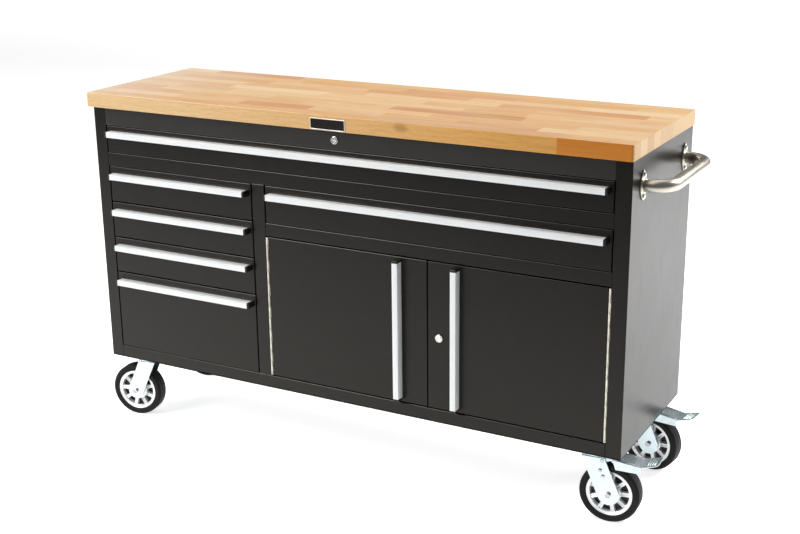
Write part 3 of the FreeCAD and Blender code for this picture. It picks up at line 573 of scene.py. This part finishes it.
topLow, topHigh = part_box("worktop")
wood = makeWood("gluedWood", woodLook, topLow, topHigh)
pullMetal = makeBrushed("pullMetal", pullLook)
doorPullMetal = makeBrushed("doorPullMetal", doorPullLook)
tubeMetal = makeBrushed("tubeMetal", tubeLook)
blackPaint = makeCoated("blackPaint", paintLook)
headerPaint = makeCoated("headerPaint", headerLook)
plateBlack = makeCoated("plateBlack", plateLook)
zinc = makeCoated("zinc", zincLook)
hingeMetal = makeCoated("hingeMetal", hingeLook)
rimMetal = makeCoated("rimMetal", rimLook)
lockMetal = makeCoated("lockMetal", lockLook)
pedalMetal = makeCoated("pedalMetal", pedalLook)
boltMetal = makeCoated("boltMetal", boltLook)
rubber = makeCoated("rubber", rubberLook)
blackPlastic = makeCoated("blackPlastic", plasticLook)
print("materials ready")


# geometry node trees: each ends in real geometry with its material on

def openTree(name, inputs):
    return newGroup("Geometry", name, {"Geometry": "Geometry", **inputs, "Material": "Material"},
                    {"Geometry": "Geometry"})


def closeTree(g, given, result, geometry):
    plain = g.out("GeometryNodeRealizeInstances", {"Geometry": geometry})
    g.fill(result, {0: g.out("GeometryNodeSetMaterial", {"Geometry": plain, "Material": given["Material"]})})
    return g.tree


def joinIn(g, parts):
    whole = g.put("GeometryNodeJoinGeometry")
    for part in parts:
        g.fill(whole, {0: part})
    return whole.outputs[0]


def copiesOn(g, points, instance, **more):
    return g.out("GeometryNodeInstanceOnPoints", {"Points": points, "Instance": instance, **more})


def grown(mesh, tree, material, **values):
    # runs the tree on the mesh with the named values, and gives back a plain mesh
    made = showObject("work", mesh)
    grow = made.modifiers.new("Grow", "NODES")
    grow.node_group = tree
    values["Material"] = material
    for item in tree.interface.items_tree:
        if item.item_type == "SOCKET" and item.in_out == "INPUT" and item.name in values:
            grow[item.identifier] = values[item.name]
    return bakedMesh(made)


# a bar: the section pushed along a line, with both ends closed
def buildBarTree():
    g, given, result = openTree("extrudedBar", {"along": "Vector", "length": "Float"})
    push = g.out("GeometryNodeExtrudeMesh",
                 {"Mesh": given["Geometry"], "Offset": given["along"], "Offset Scale": given["length"],
                  "Individual": False}, "Mesh", mode="FACES")
    whole = joinIn(g, (push, g.out("GeometryNodeFlipFaces", {"Mesh": given["Geometry"]})))
    welded = g.out("GeometryNodeMergeByDistance", {"Geometry": whole, "Distance": 1e-6})
    return closeTree(g, given, result, welded)


# copies of the mesh turned about Z, evenly round the circle
def buildRingTree():
    g, given, result = openTree("ringOfCopies", {"count": "Int", "firstAngle": "Float"})
    spots = g.out("GeometryNodePoints", {"Count": given["count"]})
    angle = g.out("GeometryNodeInputIndex") * (2 * math.pi / given["count"]) + given["firstAngle"]
    turn = g.out("ShaderNodeCombineXYZ", {2: angle})
    return closeTree(g, given, result, copiesOn(g, spots, given["Geometry"], Rotation=turn))


# copies of the mesh in a straight row
def buildRowTree():
    g, given, result = openTree("rowOfCopies", {"count": "Int", "step": "Vector"})
    row = g.out("GeometryNodeMeshLine", {"Count": given["count"], "Offset": given["step"]}, mode="OFFSET")
    return closeTree(g, given, result, copiesOn(g, row, given["Geometry"]))


# a screw head on every point: washer, straight skirt and tapered crown, facing along Z of the turn given
def buildScrewTree():
    g, given, result = openTree("screwHeads", {"headRadius": "Float", "headHeight": "Float", "sides": "Int",
                                               "topShare": "Float", "washerRadius": "Float",
                                               "washerHeight": "Float", "turn": "Vector"})
    thick, radius, sideCount = given["washerHeight"], given["headRadius"], given["sides"]
    lower = given["headHeight"] * 0.6
    washer = g.out("GeometryNodeMeshCylinder", {"Vertices": 32, "Radius": given["washerRadius"],
                                                "Depth": thick})
    skirt = g.out("GeometryNodeMeshCylinder", {"Vertices": sideCount, "Radius": radius, "Depth": lower})
    crown = g.out("GeometryNodeMeshCone", {"Vertices": sideCount, "Radius Bottom": radius,
                                           "Radius Top": radius * given["topShare"],
                                           "Depth": given["headHeight"] - (lower + thick)})
    parts = []
    for shape, height in ((washer, thick * 0.5), (skirt, thick + lower * 0.5), (crown, thick + lower)):
        lift = g.out("ShaderNodeCombineXYZ", {2: height})
        parts.append(g.out("GeometryNodeTransform", {"Geometry": shape, "Translation": lift}))
    spots = g.out("GeometryNodeMeshToPoints", {"Mesh": given["Geometry"]})
    return closeTree(g, given, result, copiesOn(g, spots, joinIn(g, parts), Rotation=given["turn"]))


barTree = buildBarTree()
ringTree = buildRingTree()
rowTree = buildRowTree()
screwTree = buildScrewTree()


def pointsMesh(points):
    mesh = bpy.data.meshes.new("spots")
    mesh.from_pydata([tuple(p) for p in points], [], [])
    return mesh


# worktop and body

nodes["worktop"].data.materials.clear()
nodes["worktop"].data.materials.append(wood)

sheetLook = {"fold": 0.002, "segments": 4, "cutShare": 0.3, "shortEdge": 0.004}


# folded sheet: fold lines get the wide bend, cut edges a narrow one, and holes stay sharp
def bentSheet(part, nodeName, folds):
    # folds lists the bent sides of the node's box as (axis, 0 for the low side or 1 for the high side)
    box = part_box(nodeName)
    planes = [(axis, box[side][axis]) for axis, side in folds]

    def share(edge):
        if any(all(abs(vert.co[axis] - value) < 1e-5 for vert in edge.verts) for axis, value in planes):
            return 1.0
        return sheetLook["cutShare"] if edge.calc_length() > sheetLook["shortEdge"] else 0.0
    return softEdges(part, sheetLook["fold"], sheetLook["segments"], share)


def sheetPiece(name, nodeName, body, folds, paint=blackPaint):
    pieces = [bentSheet(part, nodeName, folds) for part in solidsOf(nodeName)]
    whole = joinedMeshes(pieces) if len(pieces) > 1 else pieces[0]
    finishPiece(name, whole, paint, body, (nodeName,))


frontFold = [(1, 0)]
bodySheets = {"side_panel_left": [(0, 0)], "side_panel_right": [(0, 1)], "back_panel": [],
              "bottom_panel": frontFold, "top_panel": [], "header_rail": frontFold, "mid_rail": frontFold,
              "right_rail": frontFold, "divider": frontFold}
for nodeName, folds in bodySheets.items():
    sheetPiece("sheet_" + nodeName, nodeName, "cabinet", folds,
               headerPaint if nodeName == "header_rail" else blackPaint)
print("body sheets ready")


# drawers and doors

fittingSize = {"hingeRound": 0.0003, "slideRound": 0.0003, "ringRound": 0.0007, "plugRound": 0.0003}

for name in drawers:
    nodeName = name + "_box"
    shell, *runners = solidsOf(nodeName)
    shell = bentSheet(shell, nodeName, frontFold)
    finishPiece(name + "_shell", shell, blackPaint, name, (nodeName,))
    runners = [softEdges(part, fittingSize["slideRound"]) for part in runners]
    finishPiece(name + "_runners", joinedMeshes(runners), zinc, name)
for side in sides:
    sheetPiece("door_" + side + "_shell", "door_" + side + "_panel", "door_" + side, frontFold)
print("drawers and doors ready")


# pulls: extruded section with a groove near its front corner, and a moulded cap at each end

pullSize = {"depth": 0.022, "face": 0.015, "wall": 0.003, "flange": 0.013, "groove": 0.0016,
            "grooveWidth": 0.003, "cap": 0.006, "round": 0.0005, "capRound": 0.0012}


def pullSection(size):
    d, w, g, face = size["depth"], size["wall"], size["groove"], size["face"]
    corner = d - w
    start = corner - size["grooveWidth"]
    loop = [(0, 0), (start, 0), (start, -g), (corner, -g), (corner, 0), (d, 0), (d, -face), (corner, -face),
            (corner, -w), (w, -w), (w, -size["flange"]), (0, -size["flange"])]
    return roundedLoop(loop, size["round"], 3)


def capMesh(size, toPlace, shift, outward):
    # a moulded plug: the end is a little smaller than the root, so its rim reads as rounded
    depth, face, cap, r = size["depth"], size["face"], size["cap"], size["capRound"]
    loop = roundedLoop([(0, 0), (depth, 0), (depth, -face), (0, -face)], r, 4)
    rings = []
    for inset, reach in ((0.0, 0.0), (0.0, cap - r), (r * 0.13, cap - r * 0.5), (r * 0.5, cap - r * 0.13),
                         (r, cap)):
        smaller = [(a + (inset if a < depth / 2 else -inset), b + (inset if b < -face / 2 else -inset))
                   for a, b in loop]
        rings.append([Vector(toPlace(a, b)) + shift + outward * reach for a, b in smaller])
    return meshOf(walled(rings))


def buildPull(nodeName, body, upright):
    size = pullSize
    low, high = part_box(nodeName)
    start = (low.z if upright else low.x) + size["cap"]
    length = (high.z - low.z if upright else high.x - low.x) - 2 * size["cap"]
    along = Vector((0.0, 0.0, 1.0) if upright else (1.0, 0.0, 0.0))
    metal = doorPullMetal if upright else pullMetal

    def toPlace(out, down):  # upright pulls have their closed side towards +X
        return (high.x + down, high.y - out, start) if upright else (start, high.y - out, high.z + down)
    section = bmesh.new()
    section.faces.new([section.verts.new(toPlace(a, b)) for a, b in pullSection(size)])
    bar = bmesh.new()
    bar.from_mesh(grown(rawMesh(section), barTree, metal, along=tuple(along), length=length))
    bmesh.ops.recalc_face_normals(bar, faces=bar.faces)
    finishPiece(nodeName + "_bar", meshOf(bar, 25), metal, body, (nodeName,))
    caps = [capMesh(size, toPlace, along * 0, -along), capMesh(size, toPlace, along * length, along)]
    finishPiece(nodeName + "_caps", joinedMeshes(caps), blackPlastic, body)


for name in drawers:
    buildPull(name + "_pull", name, False)
for side in sides:
    buildPull("door_" + side + "_pull", "door_" + side, True)
print("pulls ready")


# hinges, slides and locks

hingeRound, slideRound = fittingSize["hingeRound"], fittingSize["slideRound"]
for side in sides:
    body = "door_" + side
    softPiece("hinge_" + side, body + "_hinge_leaf", hingeMetal, body, hingeRound)
softPiece("hinge_cabinet", "cabinet_hinge_leaves", hingeMetal, "cabinet", hingeRound)
softPiece("slides_cabinet", "cabinet_slide_members", zinc, "cabinet", slideRound)
for name in drawers:
    softPiece(name + "_middles", name + "_slide_middles", zinc, name + "_slide", slideRound)
for nodeName, body, width in (("door_lock_housing", "door_right", "ringRound"),
                              ("header_lock_housing", "cabinet", "ringRound"),
                              ("door_lock_plug", "door_lock", "plugRound"),
                              ("header_lock_plug", "header_lock", "plugRound")):
    softPiece(nodeName + "_metal", nodeName, lockMetal, body, fittingSize[width], 3)
print("hinges, slides and locks ready")


# nameplate: a black field inside a raised bright rim

plateSize = {"rim": 0.0018, "rimRise": 0.0005, "corner": 0.0015, "innerCorner": 0.0009, "soft": 0.0002}


def buildNameplate():
    low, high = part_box("nameplate")
    outer, inner, rim, soft = (plateSize[key] for key in ("corner", "innerCorner", "rim", "soft"))

    def ring(inset, corner, y):
        left, right, bottom, top = low.x + inset, high.x - inset, low.z + inset, high.z - inset
        loop = roundedLoop([(left, bottom), (right, bottom), (right, top), (left, top)], corner, 4)
        return [(a, y, b) for a, b in loop]
    front, back = low.y, high.y
    field = front + plateSize["rimRise"]
    rings = [ring(0, outer, back), ring(0, outer, front + soft), ring(soft, outer, front),
             ring(rim - soft, inner, front), ring(rim, inner, front + soft), ring(rim, inner, field + soft),
             ring(rim, inner, back)]
    finishPiece("nameplateRim", meshOf(walled(rings, True)), rimMetal, "cabinet",
                ("nameplate",))
    rings = [ring(rim, inner, back), ring(rim, inner, field)]
    finishPiece("nameplateField", meshOf(walled(rings)), plateBlack, "cabinet")


buildNameplate()


# push handle: bent tube welded to two pointed flanges

handleSize = {"tube": 0.015, "bend": 0.052, "frontY": 0.070, "backY": 0.381, "flange": 0.003,
              "flangeHeight": 0.072, "flangeWidth": 0.040, "flangeRound": 0.0007, "weld": 0.0022,
              "boltSpacing": 0.050,
              "bolt": {"headRadius": 0.0055, "headHeight": 0.004, "sides": 40, "topShare": 0.72,
                       "washerRadius": 0.0068, "washerHeight": 0.0008}}


def sweepTube(path, radius, steps=40):
    # path lies in a level plane; the section stays square to it
    rings = []
    for i, point in enumerate(path):
        along = (path[min(i + 1, len(path) - 1)] - path[max(i - 1, 0)]).normalized()
        side = along.cross(Vector((0, 0, 1))).normalized()
        up = side.cross(along)
        rings.append([point + side * (radius * a) + up * (radius * b) for a, b in circle(steps)])
    return meshOf(walled(rings))


def flangeMesh(x, y, z, size):
    # two arcs that meet near the tips, which are blunted
    half, side = size["flangeHeight"] / 2, size["flangeWidth"] / 2
    radius = (half * half + side * side) / (2 * side)
    reach = math.asin(half / radius)
    angles = [reach * (1 - 2 * step / 16) * 0.965 for step in range(17)]
    loop = [(sign * (radius * math.cos(angle) - (radius - side)), sign * radius * math.sin(angle))
            for sign in (1, -1) for angle in angles]
    rings = [[(x + out, y + a, z + b) for a, b in loop] for out in (0, size["flange"])]
    return softEdges(walled(rings), size["flangeRound"], 3)


def buildPushHandle():
    size = handleSize
    low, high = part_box("push_handle")
    r, w, bend = size["tube"], size["weld"], size["bend"]
    seat = low.x + size["flange"]
    middleY, middleZ = (low.y + high.y) / 2, (low.z + high.z) / 2
    half = (size["backY"] - size["frontY"]) / 2
    ends = (middleY - half, middleY + half)
    bendX = high.x - r - bend
    turns = [math.radians(90 * step / 24) for step in range(25)]
    path = [Vector((seat + x, ends[0], middleZ)) for x in (-0.001, 0.001)]
    for sign, angles in ((-1, turns), (1, turns[::-1])):
        centre = Vector((bendX, middleY + sign * (half - bend), middleZ))
        path += [centre + Vector((math.sin(angle), sign * math.cos(angle), 0)) * bend for angle in angles]
    path += [Vector((seat + x, ends[1], middleZ)) for x in (0.001, -0.001)]
    parts = [sweepTube(path, r)]
    weld = [(r - 0.001, -0.0005), (r + w, -0.0005), (r + w * 0.85, 0.0006), (r + w * 0.3, w * 0.85),
            (r - 0.001, w)]
    for y in ends:
        turn = Matrix.Translation((seat, y, middleZ)) @ Matrix.Rotation(math.pi / 2, 4, "Y")
        parts.append(placed(meshOf(lathe(roundedLoop(weld, 0.0006, 3), 48), 60), turn))
    finishPiece("pushHandleTube", joinedMeshes(parts), tubeMetal, "cabinet",
                ("push_handle",))
    flanges = [flangeMesh(low.x, y, middleZ, size) for y in ends]
    finishPiece("pushHandleFlanges", joinedMeshes(flanges), tubeMetal, "cabinet")
    spots = [(seat, y, middleZ + z * size["boltSpacing"] / 2) for y in ends for z in (-1, 1)]
    heads = grown(pointsMesh(spots), screwTree, lockMetal, turn=(0.0, math.pi / 2, 0.0), **size["bolt"])
    finishPiece("pushHandleBolts", joinedMeshes([heads]), lockMetal, "cabinet",
                ("push_handle_bolts",))


buildPushHandle()
print("push handle ready")


# casters

casterSize = {"forkRound": 0.0009, "plateRound": 0.0007, "pedalRound": 0.0007, "boltRound": 0.0004}

# beads are steps out from the rim and in from the tyre's side; groove steps go in from tread and shoulder
wheelSize = {"radius": 0.075, "width": 0.038, "shoulder": 0.0062, "rimRadius": 0.05745, "rimWidth": 0.033,
             "ringInner": 0.0485, "hub": 0.013, "hubHalf": 0.0212, "bore": 0.00505, "innerRing": 0.0285,
             "web": 0.004, "spokeWidth": 0.0106, "spokes": 9, "firstWindow": math.radians(22.0),
             "beads": ((0, 0.0022), (0.0006, 0.0012), (0.0022, 0.0003), (0.0040, 0), (0.0052, 0.0005),
                       (0.0060, 0.0001)),
             "groove": ((0, 0.0035), (0.0003, 0.0042), (0.0003, 0.0050), (0, 0.0057))}


def wheelMatrix(body):
    # wheel space: Z along the axle, X level and away from the swivel
    joint = joints[body]
    axis = Vector(joint["axis"]).normalized()
    level = axis.cross(Vector((0, 0, 1)))
    return Matrix.Translation(joint["pos_m"]) @ turnOf(level, axis.cross(level), axis)


def tyreProfile(size):
    r, half, s = size["radius"], size["width"] / 2, size["shoulder"]
    inner = size["rimRadius"] + 0.00005
    edge = [(inner + a, half - b) for a, b in size["beads"]] + [(r - s - 0.001, half)]
    angles = [math.radians(90 - 90 * step / 8) for step in range(9)]
    arc = [(r - s + s * math.cos(angle), half - s + s * math.sin(angle)) for angle in angles]
    return mirrored(edge + arc + [(r - a, half - s - b) for a, b in size["groove"]])


def spokeMesh(size):
    # one double rib from the hub ring to the outer ring, with a groove between the ribs
    half = size["spokeWidth"] / 2
    top = size["rimWidth"] / 2 - 0.0034
    left = [(-half, -size["web"] / 4), (-half, top - 0.0022), (-half + 0.0012, top), (-0.0022, top),
            (-0.0010, top - 0.0026)]
    section = roundedLoop(left + [(-a, b) for a, b in reversed(left)], 0.0007, 2)
    inner, outer = size["innerRing"] - 0.0022, size["ringInner"] + 0.0012
    rings = []
    for t in (0.0, 0.12, 0.5, 0.88, 1.0):
        flare = 1.0 + 0.22 * (2 * abs(t - 0.5)) ** 4
        rings.append([(inner + (outer - inner) * t, a * flare, b) for a, b in section])
    return meshOf(walled(rings), 40)


def buildWheel(corner):
    size = wheelSize
    body = "wheel_" + corner
    toPlace = wheelMatrix(body)
    tyre = placed(meshOf(lathe(tyreProfile(size), 128), 45), toPlace)
    finishPiece("tyre_" + corner, tyre, rubber, body, ("wheel_tyre_" + corner,))
    half, hubHalf, web = size["rimWidth"] / 2, size["hubHalf"], size["web"] / 2
    rim, ring, hub, inner = size["rimRadius"], size["ringInner"], size["hub"], size["innerRing"]
    ringSide = [(rim, half), (rim - 0.0018, half), (rim - 0.0024, half - 0.0009),
                (ring + 0.0016, half - 0.0012), (ring, half - 0.0034)]
    hubSide = [(size["bore"], hubHalf), (hub - 0.0015, hubHalf), (hub, hubHalf - 0.0015),
               (hub, half - 0.0015), (inner - 0.002, half - 0.0030), (inner, half - 0.0048)]
    parts = [meshOf(lathe(roundedLoop(mirrored(upper), 0.0006, 3), steps), 45)
             for upper, steps in ((ringSide, 128), (hubSide, 96))]
    firstSpoke = -(size["firstWindow"] + math.pi / size["spokes"])
    for turn in (0, math.pi):
        spoke = placed(spokeMesh(size), Matrix.Rotation(turn, 4, "X"))
        parts.append(grown(spoke, ringTree, rimMetal, count=size["spokes"], firstAngle=firstSpoke))
    wheel = placed(joinedMeshes(parts), toPlace)
    finishPiece("rim_" + corner, wheel, rimMetal, body, ("wheel_rim_" + corner,))
    # a black disc across the middle of the wheel closes the windows between the spokes, so they show dark
    disc = placed(meshOf(lathe(mirrored([(inner - 0.001, web), (ring + 0.001, web)]), 96), 30), toPlace)
    finishPiece("rimWeb_" + corner, disc, blackPlastic, body)


def casterMatrix(corner):
    # caster space: Z up from the floor on the swivel line, X from the swivel towards the axle
    swivel = Vector(joints["caster_" + corner]["pos_m"])
    ahead = Vector(joints["wheel_" + corner]["pos_m"]) - swivel
    ahead = Vector((ahead.x, ahead.y, 0)).normalized()
    up = Vector((0, 0, 1))
    return Matrix.Translation((swivel.x, swivel.y, 0)) @ turnOf(ahead, up.cross(ahead), up)


rivetSize = {"spots": ((0.0185, 0.136), (0.0255, 0.121)), "legOuter": 0.025,
             "head": {"headRadius": 0.0046, "headHeight": 0.0024, "sides": 32, "topShare": 0.62,
                      "washerRadius": 0.0053, "washerHeight": 0.0003}}


def rivetHeads(corner):
    size = rivetSize
    toPlace = casterMatrix(corner)
    parts = []
    for side in (1, -1):
        spots = pointsMesh([toPlace @ Vector((x, side * size["legOuter"], z)) for x, z in size["spots"]])
        outward = (toPlace.to_3x3() @ Vector((0, side, 0))).to_track_quat("Z", "Y").to_euler()
        parts.append(grown(spots, screwTree, boltMetal, turn=tuple(outward), **size["head"]))
    return parts


def buildFork(corner):
    name = "caster_" + corner
    nodeName = "caster_fork_" + corner
    fork, *bolts = softSolids(nodeName, casterSize["forkRound"], 3)
    finishPiece("fork_" + corner, fork, zinc, name, (nodeName,))
    if "right" in corner:
        bolts += rivetHeads(corner)
    finishPiece("forkBolts_" + corner, joinedMeshes(bolts), boltMetal, name)


# tread and foot are slopes, each from one (distance from the swivel, height) to another
pedalSize = {"tread": ((0.048, 0.1693), (0.116, 0.1625)), "foot": ((0.116, 0.1625), (0.158, 0.1755)),
             "ridgeFrom": 0.056, "ridgeTo": 0.112, "ridgeSpots": (-0.0255, 0.0205), "ridges": 2,
             "ridgeStep": 0.005, "ridgeRadius": 0.0012, "ribFrom": 0.131, "ribs": 4, "ribStep": 0.0055,
             "ribHalf": 0.021, "ribRadius": 0.0013, "sunk": 0.0005}


def ribMesh(start, end, up, radius):
    # a half-round rib lying on the line from start to end, dipping down at both ends
    along = (end - start).normalized()
    across = up.cross(along).normalized()
    length = (end - start).length
    near = [(radius * (1 - math.cos(a)), radius * math.sin(a)) for a in map(math.radians, (12, 36, 62, 90))]
    down = up * pedalSize["sunk"]
    rings = []
    for place, r in near + [(length - a, b) for a, b in reversed(near)]:
        centre = start + along * place
        arc = [centre + across * (r * math.cos(angle)) + up * (r * math.sin(angle))
               for angle in (math.pi * step / 8 for step in range(9))]
        rings.append([centre + across * r - down] + arc + [centre - across * r - down])
    return meshOf(walled(rings), 50)


def slopePoint(slope, x, y):
    (startX, startZ), (endX, endZ) = slope
    return Vector((x, y, startZ + (x - startX) / (endX - startX) * (endZ - startZ)))


def slopeUp(slope):
    (startX, startZ), (endX, endZ) = slope
    return Vector((endX - startX, 0, endZ - startZ)).cross(Vector((0, 1, 0))).normalized()


def buildPedal(corner):
    size = pedalSize
    body = "pedal_" + corner
    nodeName = "brake_pedal_" + corner
    toPlace = casterMatrix(corner)
    parts = softSolids(nodeName, casterSize["pedalRound"], 2)
    tread, foot, ribFrom, ribHalf = size["tread"], size["foot"], size["ribFrom"], size["ribHalf"]
    rows = [(tread, (size["ridgeFrom"], y), (size["ridgeTo"], y), size["ridgeRadius"], size["ridges"],
             Vector((0, size["ridgeStep"], 0))) for y in size["ridgeSpots"]]
    ribStep = slopePoint(foot, ribFrom + size["ribStep"], 0) - slopePoint(foot, ribFrom, 0)
    rows.append((foot, (ribFrom, -ribHalf), (ribFrom, ribHalf), size["ribRadius"], size["ribs"], ribStep))
    for slope, start, end, radius, count, step in rows:
        rib = ribMesh(slopePoint(slope, *start), slopePoint(slope, *end), slopeUp(slope), radius)
        parts.append(grown(placed(rib, toPlace), rowTree, pedalMetal, count=count,
                           step=tuple(toPlace.to_3x3() @ step)))
    finishPiece("pedal_" + corner, joinedMeshes(parts), pedalMetal, body, (nodeName,))


softPiece("casterPlates", "caster_plates", zinc, "cabinet", casterSize["plateRound"], 2)
softPiece("casterBolts", "caster_bolts", lockMetal, "cabinet", casterSize["boltRound"], 2)
for corner in corners:
    buildFork(corner)
    buildWheel(corner)
    if "right" in corner:
        buildPedal(corner)
print("casters ready")


# studio

studioLook = {"background": 0.15, "floorColour": (0.93, 0.93, 0.925, 1), "floorCloud": (0.9, 0.9, 0.895, 1),
              "paintedFloorShade": (0.34, 0.34, 0.335, 1), "floorGlow": 0.74, "fadeStart": -0.1, "fadeEnd": -2.9,
              "fadeLean": -0.3, "floorRoughness": 0.7, "floorSize": 24.0}


def buildStudio():
    look = studioLook
    world = bpy.data.worlds.new("studio")
    scene.world = world
    world.use_nodes = True
    sky = next(node for node in world.node_tree.nodes if node.type == "BACKGROUND")
    sky.inputs["Color"].default_value = (1.0, 1.0, 1.0, 1)
    sky.inputs["Strength"].default_value = look["background"]
    bm = bmesh.new()
    bmesh.ops.create_grid(bm, x_segments=1, y_segments=1, size=look["floorSize"])
    floor = showObject("studioFloor", meshOf(bm))
    material, g, surface = newMaterial("paleFloor")
    place = g.place()
    x, y = g.split("ShaderNodeSeparateXYZ", place)[:2]
    # painted shade: towards the camera the floor turns dark grey and stops glowing, which darkens what the
    # black fronts reflect
    near = g.ramp(y + x * look["fadeLean"], look["fadeEnd"], look["fadeStart"])
    pale = g.blend(g.noise(place, 3.0, 2.0, 0.5), look["floorColour"], look["floorCloud"])
    glow = near * g.ramp(y, 5.0, 9.0, look["floorGlow"], 1.0)
    g.fill(surface, {"Base Color": g.blend(near, look["paintedFloorShade"], pale), "Roughness": look["floorRoughness"],
                     "Emission Color": (1, 1, 1, 1), "Emission Strength": glow})
    floor.data.materials.append(material)


def softbox(name, place, target, size, power, colour=(1, 1, 1)):
    light = bpy.data.lights.new(name, "AREA")
    light.shape = "RECTANGLE"
    light.size, light.size_y = size
    light.energy = power
    light.color = colour
    made = showObject(name, light)
    made.location = place
    made.rotation_euler = (Vector(target) - Vector(place)).to_track_quat("-Z", "Y").to_euler()
    return made


cameraView = {"place": (1.62296, -2.90432, 1.54878), "azimuth": 28.600, "elevation": 17.502, "roll": -0.591,
              "lens": 59.368}


def buildCamera():
    azimuth, elevation, roll = (math.radians(cameraView[key]) for key in ("azimuth", "elevation", "roll"))
    level = math.cos(elevation)
    back = Vector((math.sin(azimuth) * level, -math.cos(azimuth) * level, math.sin(elevation)))
    right = Vector((math.cos(azimuth), math.sin(azimuth), 0))
    up = back.cross(right)
    turnedRight = right * math.cos(roll) + up * math.sin(roll)
    turnedUp = up * math.cos(roll) - right * math.sin(roll)
    lens = bpy.data.cameras.new("photoCamera")
    lens.lens = cameraView["lens"]
    lens.sensor_width = 36.0
    lens.clip_end = 60.0
    made = showObject("photoCamera", lens)
    made.matrix_world = Matrix.Translation(cameraView["place"]) @ turnOf(turnedRight, turnedUp, back)
    scene.camera = made


scene.view_settings.view_transform = "Standard"
buildStudio()
softbox("topSoftbox", (-1.2, -0.3, 3.6), (-0.9, -0.3, 0.0), (6.0, 5.0), 106)
softbox("frontSoftbox", (-2.6, -3.4, 3.0), (-0.1, 0.0, 0.5), (2.2, 1.6), 112)
softbox("backSoftbox", (2.9, 2.6, 2.7), (1.8, 1.6, 0.0), (2.3, 2.3), 195, (0.97, 0.985, 1.0))
strip = softbox("stripSoftbox", (-2.1, -2.3, 3.4), (-0.2, -0.1, 0.6), (1.6, 3.0), 181)
strip.visible_diffuse = False
buildCamera()
print("studio ready")
